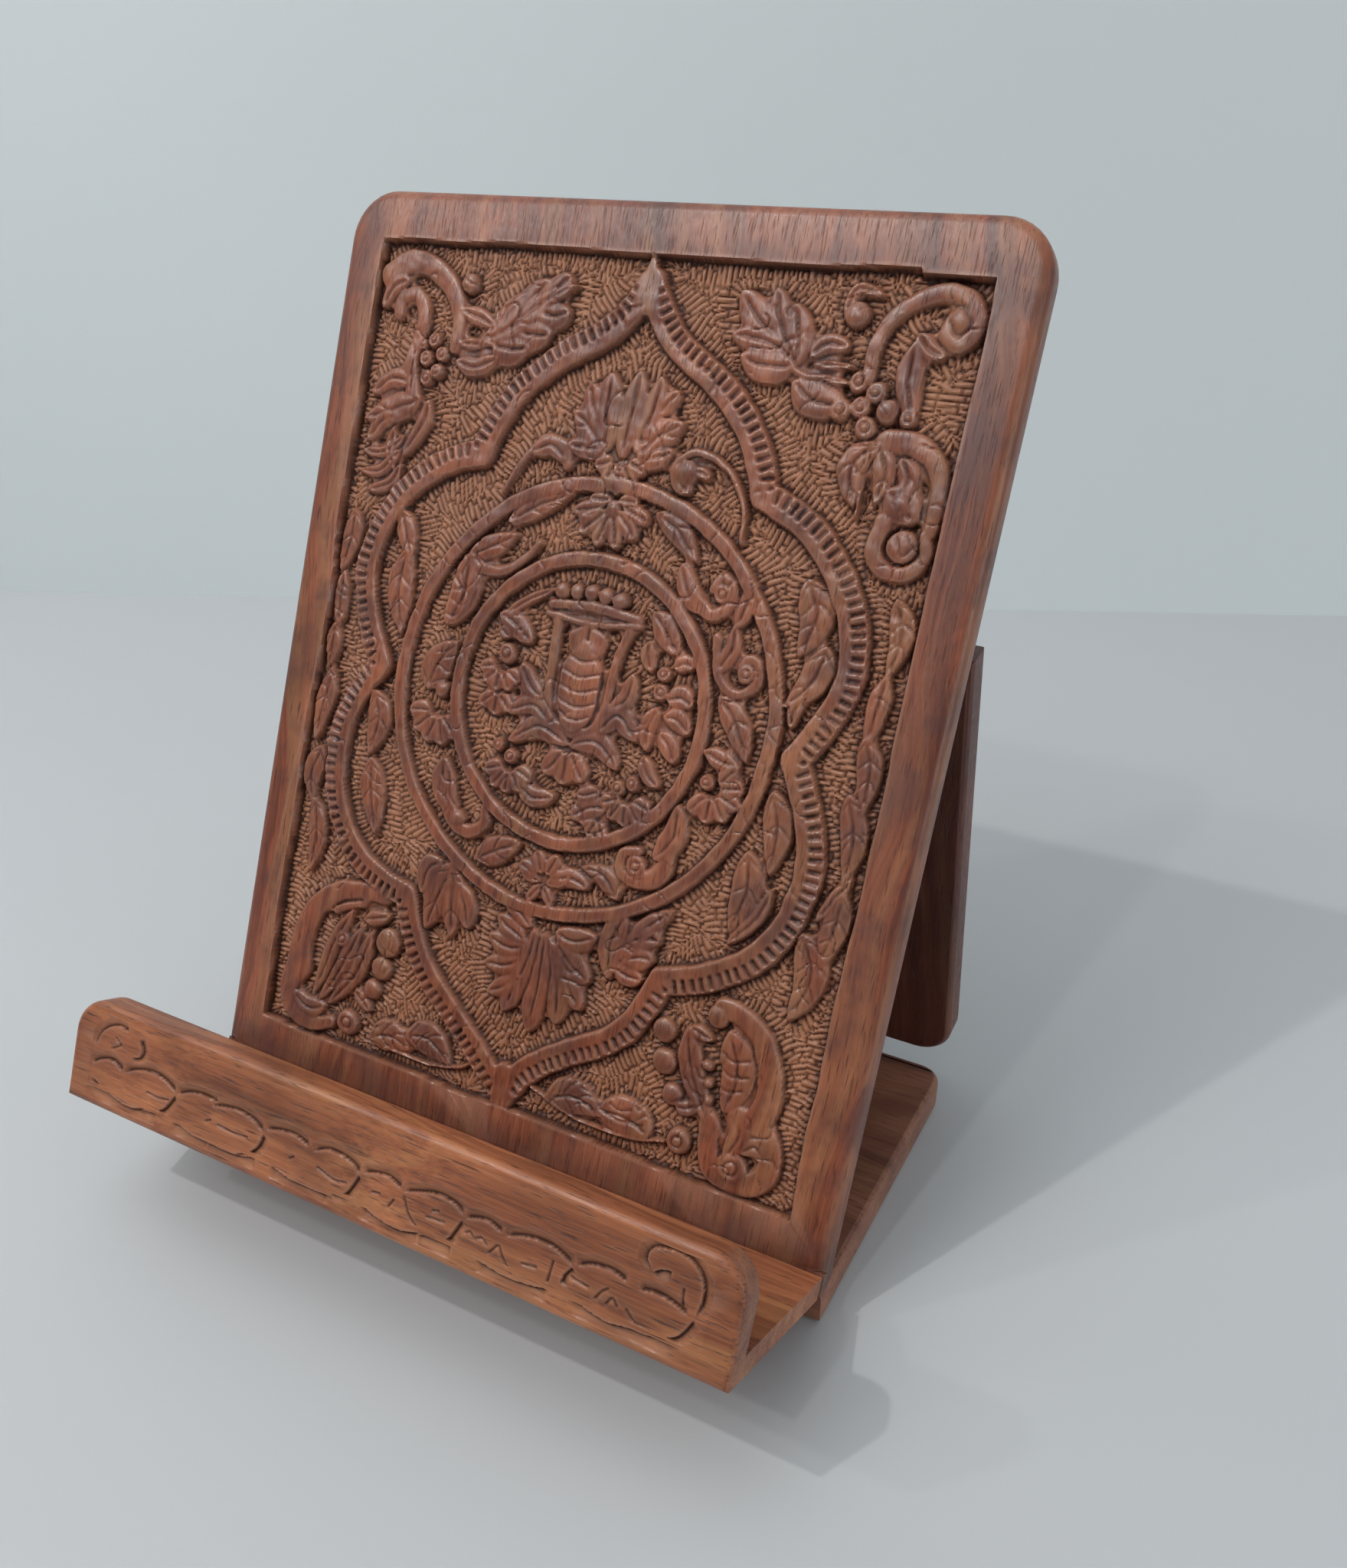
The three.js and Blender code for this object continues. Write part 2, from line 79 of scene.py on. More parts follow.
# Materials
class Nodes:
    """Builds the nodes of a material or a world. A socket or a plain value may feed every input."""

    def __init__(self, owner):
        owner.use_nodes = True
        self.owner = owner
        self.tree = owner.node_tree

    def feed(self, socket, value):
        if isinstance(value, bpy.types.NodeSocket):
            self.tree.links.new(value, socket)
        elif value is not None:
            socket.default_value = value

    def feed_all(self, node, inputs):
        for key, value in inputs.items():
            self.feed(node.inputs[key], value)

    def add(self, kind, *inputs, out=0, named=None, **props):
        """An output of a new node, with inputs in their order or by name."""
        node = self.tree.nodes.new("ShaderNode" + kind)
        for key, value in props.items():
            setattr(node, key, value)
        for socket, value in zip([s for s in node.inputs if s.enabled], inputs):
            self.feed(socket, value)
        self.feed_all(node, named or {})
        return node.outputs[out]

    def math(self, operation, a, b):
        return self.add("Math", a, b, operation=operation)

    def plus(self, a, b):
        return self.math("ADD", a, b)

    def times(self, a, b):
        return self.math("MULTIPLY", a, b)

    def noise(self, vector, scale, detail, rough=0.5):
        named = {"Vector": vector, "Scale": scale, "Detail": detail, "Roughness": rough}
        return self.add("TexNoise", out="Fac", named=named)

    def ramp(self, value, *stops):
        node = self.tree.nodes.new("ShaderNodeValToRGB")
        self.feed(node.inputs[0], value)
        elements = node.color_ramp.elements
        while len(elements) < len(stops):
            elements.new(1.0)
        for element, (place, colour) in zip(elements, stops):
            element.position = place
            element.color = (*colour, 1)
        return node.outputs[0]

    def span(self, value, low, high, to_low=0.0, to_high=1.0):
        """Maps low to to_low and high to to_high, and stays between them."""
        return self.add("MapRange", value, low, high, to_low, to_high, clamp=True)

    def mix(self, share, a, b, blend="MIX"):
        a, b = ((*each, 1) if isinstance(each, tuple) else each for each in (a, b))
        return self.add("Mix", out=2, named={0: share, 6: a, 7: b}, data_type="RGBA", blend_type=blend)

    def attribute(self, name):
        return self.add("Attribute", out=2, attribute_name=name)

    def bump(self, height, distance, strength):
        return self.add("Bump", named={"Strength": strength, "Distance": distance, "Height": height})

    def finish(self, colour, roughness, normal=None, metallic=0.0):
        shader = self.tree.nodes["Principled BSDF"]
        self.feed_all(shader, {"Base Color": colour, "Roughness": roughness, "Normal": normal,
                               "Metallic": metallic, "Specular IOR Level": 0.5})
        return self.owner


class Grain:
    """Noise that runs along a board's grain, by millimetres across, along and through the board."""

    def __init__(self, n, across, along, origin):
        self.n = n
        place = n.add("TexCoord", out=3)

        def measure(axis, start):
            distance = n.add("VectorMath", place, tuple(axis / MM), out=1, operation="DOT_PRODUCT")
            return n.plus(distance, start)

        across, along = Vector(across), Vector(along)
        axes = across, along, across.cross(along)
        self.across, self.along, self.through = map(measure, axes, origin)
        # The grain wanders by some millimetres along the board
        sway = n.times(self.noise(self.across, 0.011, 0.011, 1.0), 34.0)
        waver = n.times(self.noise(self.across, 0.07, 0.035), 5.0)
        self.wandering = n.plus(self.across, n.plus(sway, waver))

    def noise(self, place, across_scale, along_scale, detail=2.0, rough=0.5):
        """Noise over a place across the grain, with so many waves per mm across and along."""
        scaled = [self.n.times(value, scale) for value, scale in
                  ((place, across_scale), (self.along, along_scale), (self.through, across_scale))]
        return self.n.noise(self.n.add("CombineXYZ", *scaled), 1.0, detail, rough)

    def even_noise(self, scale, detail, rough):
        place = self.n.add("CombineXYZ", self.across, self.along, self.through)
        return self.n.noise(place, scale, detail, rough)


def uncarved(n, grain, tones, streaks, pores, foot):
    """The colour of bare wood, in bands and lines, and darkened to the share foot at the board's foot as
    painted shade under the lip, partly darker wood.
    """
    light, mid, dark, tan = tones
    bands = n.span(grain.noise(grain.wandering, 0.075, 0.0025), 0.36, 0.66)
    lines = n.span(grain.noise(grain.wandering, 1.5, 0.022, 3.0, 0.6), 0.30, 0.70)
    tone = n.plus(n.times(bands, 0.36), n.times(streaks, 0.36))
    tone = n.plus(tone, n.times(lines, 0.28))
    colour = n.ramp(tone, (0.10, light), (0.50, mid), (0.95, dark))

    beside = n.plus(grain.wandering, 90.0)
    yellow = n.span(grain.noise(beside, 0.16, 0.004, 3.0), 0.50, 0.66)
    colour = n.mix(n.times(yellow, 0.55), colour, tan)
    colour = n.mix(n.times(pores, 0.70), colour, tuple(0.6 * c for c in dark))

    slanted = n.plus(grain.across, n.times(grain.along, -0.8))
    figure = n.span(grain.noise(slanted, 0.045, 0.012), 0.32, 0.68, 0.80, 1.15)
    # Darker towards the board's foot: painted shade under the lip, partly darker wood
    figure = n.times(figure, n.span(grain.along, 9.0, 15.0, foot, 1.0))
    return n.add("VectorMath", colour, n.add("CombineXYZ", figure, figure, figure), operation="MULTIPLY")


# Tones of the carved wood: stains, two of fresh wood, crests lightened by rubbing and a painted sheen, and
# a tint for dirt and painted shade in hollows
STAIN = (0.100, 0.040, 0.036)
FRESH = (0.47, 0.205, 0.098), (0.29, 0.112, 0.052)
WORN_AND_SHEEN = (0.42, 0.215, 0.145)
GRIME_AND_SHADE = (0.14, 0.09, 0.085)


def carved_look(n, grain, colour, streaks, stained):
    """Colour and added roughness of carving: stains, fresh wood below, dirt and painted shade in hollows,
    crests lightened by rubbing and a painted sheen.
    """
    stain = n.span(grain.even_noise(0.060, 3.0, 0.6), 0.46, 0.64)
    depth, hollow, crest = (n.attribute("carve_" + key) for key in ("depth", "hollow", "crest"))
    colour = n.mix(n.times(stain, stained), colour, STAIN)
    colour = n.mix(n.times(depth, 0.8), colour, n.mix(streaks, *FRESH))
    # Crests are lightened: rubbed wood and a painted sheen on the carving's ridges
    colour = n.mix(n.times(crest, 0.42), colour, WORN_AND_SHEEN)
    # Hollows are darkened: dirt and painted shade in the carving's recesses
    colour = n.mix(hollow, colour, n.mix(1.0, colour, GRIME_AND_SHADE, "MULTIPLY"))
    dull = n.times(n.math("MAXIMUM", depth, hollow), 0.25)
    return colour, n.math("SUBTRACT", dull, n.times(crest, 0.10))


def wood(name, across, along, origin, tones, rough=0.42, foot=1.0, stained=None):
    """Oiled hardwood. The carved boards have a share stained."""
    n = Nodes(bpy.data.materials.new(name))
    grain = Grain(n, across, along, origin)
    streaks = n.span(grain.noise(grain.wandering, 0.34, 0.006, 4.0, 0.62), 0.36, 0.68)
    pores = n.span(grain.noise(grain.across, 2.3, 0.14), 0.58, 0.70)
    colour = uncarved(n, grain, tones, streaks, pores, foot)
    shine = n.span(grain.noise(grain.across, 0.9, 0.5, 3.0, 0.6), 0.3, 0.7, rough - 0.05, rough + 0.09)
    if stained is not None:
        colour, dull = carved_look(n, grain, colour, streaks, stained)
        shine = n.plus(shine, dull)
    fibre = n.times(grain.noise(grain.wandering, 4.5, 0.12, 2.0, 0.6), 0.6)
    height = n.math("SUBTRACT", fibre, pores)
    return n.finish(colour, shine, n.bump(height, 0.00007, 0.7))


def brass(name):
    """Dulled brass with fine scratches and brown tarnish."""
    n = Nodes(bpy.data.materials.new(name))
    place = n.add("TexCoord", out=3)
    cloud = n.noise(place, 160.0, 4.0, 0.6)
    grit = n.noise(place, 1400.0, 3.0, 0.6)
    tarnish, dull, bright = (0.20, 0.12, 0.05), (0.50, 0.34, 0.14), (0.62, 0.45, 0.20)
    colour = n.ramp(cloud, (0.30, tarnish), (0.52, dull), (0.75, bright))
    roughness = n.span(cloud, 0.3, 0.7, 0.5, 0.3)
    return n.finish(colour, roughness, n.bump(grit, 0.00004, 0.5), metallic=1.0)


# Each wood's light, middle and dark tone, and the tone of its yellow streaks
RED = (0.365, 0.124, 0.063), (0.240, 0.070, 0.036), (0.072, 0.022, 0.018), (0.340, 0.160, 0.078)
ORANGE = (0.435, 0.158, 0.066), (0.278, 0.088, 0.037), (0.074, 0.022, 0.013), (0.490, 0.212, 0.084)
ROSE = (0.400, 0.175, 0.105), (0.290, 0.115, 0.070), (0.130, 0.045, 0.030), (0.340, 0.160, 0.078)
# The leg's wood is a darker copy of the panel's red: painted shade on the leg, which stands behind the
# panel
SHADED_RED = (0.200, 0.070, 0.045), (0.125, 0.038, 0.026), (0.072, 0.022, 0.018), (0.220, 0.095, 0.050)
STRAW = (0.500, 0.330, 0.180), (0.420, 0.260, 0.130), (0.300, 0.170, 0.080), (0.500, 0.340, 0.200)
X, Y = (1, 0, 0), (0, 1, 0)
finishes = {
    # The panel's foot is darkened by painted shade under the lip, partly darker wood
    "panel_wood": wood("panel_wood", X, PANEL.along, (38, 5, 30), RED, rough=0.34, foot=0.56, stained=0.62),
    "ledge_wood": wood("ledge_wood", PANEL.out, X, (60, 40, 22), ORANGE, rough=0.40, stained=0.0),
    "base_wood": wood("base_wood", Y, X, (75, 11, 64), ROSE),
    "leg_wood": wood("leg_wood", X, LEG.along, (-44, 9, 57), SHADED_RED),
    "peg_wood": wood("peg_wood", X, Y, (12, 3, 9), STRAW),
    "hinge_brass": brass("hinge_brass"),
    "screw_brass": brass("screw_brass"),
}


def dress(obj, slot):
    obj.data.materials.clear()
    obj.data.materials.append(finishes[slot])


for subpart in frame["record"]["subparts"]:
    dress(frame["nodes"][subpart["node"]], subpart["material_slot"])


# Carving, with x and y in mm on the panel and y from the ledge's top
def smooth_line(points, spacing=1.2):
    """A Catmull-Rom line through points, with about spacing mm between its own."""
    p = np.array(points, float)
    p = np.vstack([2 * p[0] - p[1], p, 2 * p[-1] - p[-2]])
    out = []
    for a, b, c, d in zip(p[:-3], p[1:-2], p[2:-1], p[3:]):
        n = max(2, int(np.hypot(*(c - b)) / spacing))
        t = np.arange(n)[:, None] / n
        bend = 2 * a - 5 * b + 4 * c - d
        turn = 3 * b - a - 3 * c + d
        out.append(0.5 * (2 * b + (c - a) * t + bend * t ** 2 + turn * t ** 3))
    return np.vstack(out + [p[-2:-1]])


def blur(field, sigma):
    """Gaussian blur of a grid, mirrored at its edges. sigma is in cells."""
    reach = int(3 * sigma) + 1
    kernel = np.exp(-0.5 * (np.arange(-reach, reach + 1) / sigma) ** 2)
    kernel /= kernel.sum()
    for axis in (0, 1):
        wide = np.pad(field, [(reach, reach) if k == axis else (0, 0) for k in (0, 1)], "reflect")
        out = np.zeros_like(field)
        for k, weight in enumerate(kernel):
            cut = [slice(None), slice(None)]
            cut[axis] = slice(k, k + field.shape[axis])
            out += weight * wide[tuple(cut)]
        field = out
    return field


def step(value, low, high):
    """Rises smoothly from 0 at low to 1 at high."""
    t = np.clip((value - low) / (high - low), 0, 1)
    return t * t * (3 - 2 * t)


def scatter(k):
    """A fixed pseudo-random number from 0 to 1 for each k."""
    return np.modf(np.abs(np.sin(np.asarray(k) * 12.9898 + 4.1) * 43758.5453))[0]


def lumps(shape, sigma, seed):
    """Smooth seeded noise of about unit size."""
    field = blur(np.random.default_rng(seed).normal(size=shape), sigma)
    return field / field.std()


# Raised forms end over this many mm on either side of their outline
SOFT = 0.35
CUT_SPACING = 0.8


class Relief:
    """Heights in mm above the carved ground, over a grid. Grooves stop at the floor."""

    def __init__(self, x0, x1, y0, y1, pitch, floor=0.0):
        self.pitch = pitch
        self.floor = floor
        self.x = np.linspace(x0, x1, int(round((x1 - x0) / pitch)) + 1)
        self.y = np.linspace(y0, y1, int(round((y1 - y0) / pitch)) + 1)
        self.h = np.zeros((len(self.y), len(self.x)))

    def window(self, points, reach):
        """The part of the grid within reach of the points, and its coordinates."""
        p = np.asarray(points, float)
        lo, hi = p.min(0) - reach, p.max(0) + reach
        i = np.searchsorted(self.x, [lo[0], hi[0]])
        j = np.searchsorted(self.y, [lo[1], hi[1]])
        return (slice(*j), slice(*i)), *np.meshgrid(self.x[slice(*i)], self.y[slice(*j)])

    def follow(self, line, reach):
        """Where the grid is near a line: its share of the length there and the offset to its left."""
        line = np.asarray(line, float)
        where, x, y = self.window(line, reach)
        lengths = np.hypot(*np.diff(line, axis=0).T)
        starts = np.concatenate([[0], np.cumsum(lengths)])
        best, offset = np.full(x.shape, 1e9), np.full(x.shape, 1e9)
        share = np.zeros(x.shape)
        for a, b, length, start in zip(line[:-1], line[1:], lengths, starts):
            if length < 1e-9:
                continue
            ux, uy = (b - a) / length
            px, py = x - a[0], y - a[1]
            f = np.clip(px * ux + py * uy, 0, length)
            dist = np.hypot(px - f * ux, py - f * uy)
            nearer = dist < best
            best = np.where(nearer, dist, best)
            share = np.where(nearer, (start + f) / starts[-1], share)
            offset = np.where(nearer, np.where(ux * py - uy * px < 0, -dist, dist), offset)
        return where, share, offset, starts[-1]

    def lay(self, where, height):
        self.h[where] = np.maximum(self.h[where], height)

    def stem(self, line, w0, w1, top=2.1, crown=0.45):
        """A rounded strand, w0 wide at its start and w1 at its end."""
        where, t, v, _ = self.follow(line, max(w0, w1))
        half = (w0 + (w1 - w0) * t) / 2
        height = top - crown * np.clip(np.abs(v) / half, 0, 1) ** 3
        self.lay(where, height * step(half - np.abs(v), -SOFT, SOFT))

    def leaf(self, points, width, top, veins=0, blunt=0.0, rib=0.55):
        """A leaf from its foot to its tip, with a midrib cut rib deep and side veins.

        blunt goes from 0 for a pointed leaf to 1 for a round petal."""
        where, t, v, length = self.follow(smooth_line(points, 1.0), width)
        pointed = np.sin(np.pi * np.clip(t, 0, 1) ** 0.72) ** 0.85
        end = np.sqrt(np.clip(1 - (np.clip(t - 0.62, 0, 1) / 0.38) ** 2, 0, 1))
        petal = np.clip(t / 0.3, 0, 1) ** 0.6 * end
        half = width / 2 * ((1 - blunt) * pointed + blunt * petal)
        u = np.clip(np.abs(v) / np.maximum(half, 0.3), 0, 1)
        height = top - 0.5 * u ** 3
        height -= rib * np.exp(-(v / 0.42) ** 2) * step(t, 0.02, 0.2) * step(1 - t, 0.06, 0.2)
        if veins:
            place = t * veins - 0.9 * u * width / 2 * veins / length + 0.35
            away = np.abs(np.modf(place + 8)[0] - 0.5) * length / veins
            height -= 0.45 * np.exp(-(away / 0.36) ** 2) * step(u, 0.02, 0.25)
        self.lay(where, height * step(half - np.abs(v), -SOFT, SOFT))

    def fan(self, x, y, inner, outer, first, last, count, width):
        """Blunt petals around (x, y), from angle first to last in degrees."""
        for angle in np.radians(np.linspace(first, last, count)):
            c, s = math.cos(angle), math.sin(angle)
            ends = [(x + reach * c, y + reach * s) for reach in (inner, outer)]
            self.leaf(ends, width, 2.2, blunt=1.0)

    def berry(self, x, y, r, ring):
        """A round berry with a ring cut so deep in it."""
        where, gx, gy = self.window([(x, y)], r + 1)
        d = np.hypot(gx - x, gy - y)
        height = 2.7 - 0.9 * np.clip(d / r, 0, 1) ** 2.2
        height -= ring * np.exp(-((d - 0.42 * r) / 0.38) ** 2)
        self.lay(where, height * step(r - d, -0.3, 0.3))

    def ring(self, x, y, r, width, top):
        where, gx, gy = self.window([(x, y)], r + width)
        v = np.abs(np.hypot(gx - x, gy - y) - r)
        height = top - 0.25 * np.clip(v / (width / 2), 0, 1) ** 4
        self.lay(where, height * step(width / 2 - v, -0.3, 0.35))

    def band(self, line, width, top, outside, pitch=2.5):
        """A flat band with a row of short cuts nearer its outer edge. outside is 1 or -1."""
        where, t, v, length = self.follow(line, width)
        height = top - 0.22 * np.clip(np.abs(v) / (width / 2), 0, 1) ** 6
        out = v * outside
        count = int(length / pitch)
        k = np.floor(t * count)
        away = np.abs(t * count - k - 0.5 + 0.16 * (scatter(k) - 0.5)) * length / count
        wedge = np.clip(1.5 * (1 - away / 0.85), 0, 1)
        span = step(out, -0.7, 0.1) * step(3.1 + 0.9 * scatter(k + 3) - out, 0, 0.6)
        height -= (0.60 + 0.50 * scatter(k + 9)) * wedge * span
        self.lay(where, height * step(width / 2 - np.abs(v), -0.3, 0.35))

    def merge(self, reach, height):
        """Fills the narrow gaps between raised pieces up to a height."""
        near = blur((self.h > 0.8).astype(float), reach / self.pitch)
        uneven = 0.12 * lumps(self.h.shape, 1.2 / self.pitch, 21)
        self.h = np.maximum(self.h, (height + uneven) * step(near, 0.42, 0.56))

    def groove(self, points, width, depth):
        where, _, v, _ = self.follow(smooth_line(points, CUT_SPACING), 3 * width)
        self.h[where] = np.maximum(self.h[where] - depth * np.exp(-(v / width) ** 2), self.floor)

    def slope_cut(self, points, depth, width):
        """A cut that is steep along a line and slopes up again over width to the line's left."""
        where, t, v, _ = self.follow(smooth_line(points, CUT_SPACING), width)
        slope = np.clip(1 - v / width, 0, 1) * step(v, -0.28, 0.05)
        ends = step(t, -0.02, 0.12) * step(1 - t, -0.02, 0.12)
        self.h[where] = np.minimum(self.h[where], -depth * slope * ends)


# Each leaf: its width, its side veins, and x and y of its foot, its middle and its tip
LEAVES = [
    # upper left
    (5.2, 0, -77, 229, -82, 227, -85, 221), (4.2, 0, -58, 222, -52, 220.5, -46, 218),
    (3, 0, -57, 213, -51, 213.6, -45, 214), (5.2, 0, -57, 208.5, -50, 207.5, -43, 210.5),
    (5, 0, -70, 201, -77, 202, -84, 197), (7.4, 2, -66, 198, -76, 193.5, -86, 190),
    (4.6, 0, -63.5, 198, -65, 190, -70, 181), (5, 0, -73, 192, -79, 190, -83.5, 184),
    (3.6, 0, -70, 187, -76, 182, -85, 181), (3.6, 0, -70.5, 183, -77, 176.5, -85, 175.5),
    (3.8, 0, -70, 179, -73, 173, -81, 170.5), (3.4, 0, -74, 189, -75, 183, -72, 177),
    (7.6, 0, -46, 216, -42, 221.5, -38, 227.5), (8, 0, -40, 220, -36, 226, -31.5, 231.5),
    (7, 0, -33, 225, -28.5, 229.5, -24, 232.5), (8.6, 0, -46, 213.5, -40, 213, -34, 213.5),
    (8, 0, -39, 218, -33.5, 217, -28, 217.5), (7, 0, -33, 223, -28, 222, -23, 223.5),
    # upper right
    (7.2, 0, 43, 215.5, 42, 223, 40, 230), (6.4, 0, 41, 218, 37, 226, 34.5, 233.5),
    (8, 0, 40, 220.5, 32, 225, 25, 232), (6, 0, 39, 219, 32, 221, 24.5, 221.5),
    (8, 0, 43, 215.5, 35, 215, 28, 217), (4.6, 0, 46, 218, 50, 221.3, 56, 221),
    (2, 0, 47, 216.3, 52, 216.5, 58, 216.5), (1.8, 0, 48, 213.5, 53, 213.2, 58, 212.6),
    (8, 0, 43, 212, 50, 208, 58, 208), (3, 0, 53, 227, 55, 234, 62, 233),
    (4.2, 0, 72, 225, 76, 221.5, 80, 220), (6.2, 0, 72, 223, 72.5, 214, 75, 205),
    (6.8, 3, 67, 200, 62.5, 193, 65, 184), (5.4, 2, 68, 200, 71, 193, 70, 185),
    (8.4, 0, 72.5, 189, 77, 186, 80.5, 182), (5, 0, 74, 197, 77, 193, 76.5, 187),
    # palmette inside the top of the band
    (8.4, 0, -5, 189, -7, 200, -7.6, 210), (7.6, 0, 0, 188, 0.6, 200, 0.8, 211),
    (6.8, 0, 4, 190, 6.4, 200, 7.4, 210), (9, 2, 5, 189, 10, 195, 16.5, 199),
    (9, 2, -5, 189, -11, 195, -17, 199), (6, 0, -9, 197, -11.5, 201, -13.5, 206.5),
    (5.4, 0, 5, 189, 10, 189.5, 15, 192), (5.4, 0, -5, 189, -11, 190, -17, 190),
    (4.8, 0, 9, 200, 11, 204, 13.5, 206.5), (5.6, 0, -28, 187, -22, 189.5, -16.5, 186),
    (5.6, 0, 17, 191, 18, 185.5, 21, 181.5), (3, 0, 20, 187, 23, 187.5, 26.5, 186),
    # between the rings
    (5.6, 3, -31, 168, -22, 173.5, -12, 178), (6.2, 2, -42, 157.5, -34, 161.5, -27, 165.5),
    (5.8, 3, 13, 176, 20, 172.5, 27.5, 165), (5.4, 0, 23, 165, 27, 157, 34, 153),
    (4.6, 0, 41.5, 151, 43, 157, 45, 163), (4.4, 0, 38, 139, 41.5, 146, 41, 152),
    (9, 0, -42, 157.5, -41.5, 147, -46, 137.5), (9, 2, -48, 119, -46, 127, -40.5, 134),
    (7.2, 0, -38.5, 102, -37, 93, -32, 86), (6.4, 3, 40.5, 134, 46.5, 128, 52, 118.5),
    (4.6, 0, 39, 120, 44, 118.5, 50.5, 117), (6.4, 0, 31, 89, 35.5, 96, 35.5, 105),
    (5.4, 0, 36, 92, 33, 84.5, 25, 81.5), (7.4, 3, -22.5, 76, -16, 80, -8.5, 84),
    (5.4, 2, 24, 76, 18, 81, 10.5, 82), (5, 0, 4, 77, 9, 78.3, 14.5, 76.5),
    # vase in the middle
    (10.5, 0, 0, 145, 0, 141, 0, 135.5), (5.2, 0, -10, 124, -15, 126.5, -19, 132),
    (5.2, 0, 10, 124, 14.5, 128, 15.5, 135), (6.2, 0, 0, 113, -10, 116, -19, 110),
    (6.2, 0, 0, 113, 8.5, 115.5, 16, 109.5), (5.4, 0, -6, 117, -13, 121.5, -21, 118),
    (6.4, 0, 8, 118, 13, 123.5, 20, 118), (6.2, 0, -29, 143.5, -23, 141.5, -16.5, 137.5),
    (3, 0, -28, 141, -22, 147.5, -12, 153), (6.4, 0, 17.5, 151.5, 22, 147.5, 26.5, 141.5),
    (4.4, 0, 18.5, 144, 18.5, 140, 20.5, 136), (4.4, 0, 26.5, 138, 29, 140, 32, 139),
    (5.4, 0, 26, 130, 30, 131.5, 34, 130), (5.4, 0, 26, 126, 30, 126, 34.5, 123),
    (5.4, 0, 26, 122, 29, 119, 31.5, 114.5), (4.6, 0, 24.5, 128, 22, 122, 23, 116),
    (5.2, 0, -13, 100, -8, 97, -1, 98.5), (6.4, 0, 15, 99, 10, 98, 4.5, 94),
    (4.6, 0, 12, 103, 8, 101, 5, 101), (4.4, 0, 22, 115, 25, 110, 29, 108),
    # between the band and the outer ring
    (8.4, 4, 58, 166, 62, 157, 59, 147), (7.2, 2, 66.5, 151, 64, 142, 58, 134.5),
    (3.4, 0, 62.5, 137.5, 61, 134, 61, 129.5), (7.4, 3, 60.5, 114, 63.5, 104, 63.5, 93),
    (7.6, 3, 57, 97.5, 58.5, 88, 56, 76), (3.6, 0, 65, 90, 62, 81, 56, 73),
    (6, 2, -67, 166.5, -64, 160, -61, 152), (8, 4, -63, 156, -63.5, 145, -60.5, 132),
    (7.4, 3, -66, 115.5, -63, 107, -64.5, 96), (7.8, 3, -63, 96, -61.5, 86, -58, 74),
    (9.4, 2, -29, 73, -32.5, 63, -35, 52), (7.6, 2, -29, 72, -27.5, 61, -25.5, 52),
    (6.6, 0, -33, 73, -37.5, 69, -38.5, 62), (6.4, 0, -27, 68, -23.5, 63, -21, 56),
    (7, 0, 27, 73, 24, 64, 25, 54.5), (6.2, 0, 29, 66, 35, 68.5, 38.5, 68),
    (6.4, 0, 28, 61, 33, 62.5, 37.5, 63), (5.4, 0, 26.5, 58, 31, 57, 35.5, 57.5),
    (5.2, 2, 40, 77.5, 33, 70, 26, 56),
    # flower above the lower tip of the band
    (5.4, 0, -2, 58, -7, 60, -12.5, 63), (5.8, 0, -2, 56, -8, 55, -14, 57),
    (5.8, 0, -1, 53, -7, 50, -14, 49), (5.4, 0, -1, 48, -6, 44, -11, 41), (8.4, 0, 1, 62, -1, 50, -5, 37),
    (8.6, 0, 4, 62, 4.5, 48, 4, 33.5), (8.6, 0, 6, 60, 10.5, 49, 12, 38), (7.4, 0, 8, 60, 14, 55, 20, 52),
    (6.8, 0, 8, 57, 14, 49.5, 19, 44), (6.6, 0, 7, 63, 13, 61.5, 19.5, 64.5),
    (5, 0, -1, 62, -5, 65, -10, 66),
    # strips beside the band
    (5.8, 4, 80.5, 165, 84, 156, 82, 145.5), (5.2, 0, 82.5, 147, 81.5, 138, 81, 130),
    (6, 4, 80.5, 132, 83, 124, 84, 113), (6.4, 3, 79.5, 117.5, 83, 107, 82.5, 95.5),
    (3.2, 0, 85, 98, 81.5, 92, 77.5, 85), (6.4, 4, 84, 94, 83, 84, 80, 72),
    (8.4, 4, 75, 81.5, 79.5, 71, 76.5, 58.5), (5.8, 3, -84, 165, -83.5, 156, -85.5, 146),
    (4.8, 0, -84, 147, -84, 139, -83, 131), (5, 2, -84.5, 132, -84, 125, -85, 118),
    (6.2, 3, -82.5, 119, -84, 108, -85, 96.5), (6.4, 2, -81.5, 96, -84, 87, -82.5, 78),
    (6.4, 3, -81.5, 80, -79, 69, -79, 58),
    # lower left
    (4.8, 0, -61, 51, -66, 39, -70, 23), (4.8, 0, -57, 47, -61.5, 34, -68, 21),
    (5, 0, -53, 47, -56, 34, -64.5, 20.5), (5.4, 0, -65, 20, -71.5, 18, -78, 21.5),
    (4.2, 0, -57, 49, -52.5, 50.5, -47.5, 52.5), (4, 0, -56, 28, -52, 25, -49, 23.5),
    (8.4, 4, -48, 16, -40, 18.5, -32.5, 16.5), (8.4, 3, -35, 20.5, -27, 21.5, -18.5, 16.5),
    # lower right
    (6.4, 0, 50.5, 50, 54, 38, 61.5, 26), (8.6, 0, 62, 52, 66.5, 42, 65, 31),
    (6, 0, 66.5, 32, 70.5, 27, 67.5, 19), (5, 0, 72, 22, 75, 25, 79, 22),
    (4, 0, 51, 28, 54, 28, 58, 31), (9.2, 4, 13, 17.5, 22, 20.5, 31, 18.5),
    (9.6, 0, 46, 17.5, 38, 20.5, 29.5, 20), (3.4, 0, 51, 50, 54, 49, 58, 48),
]
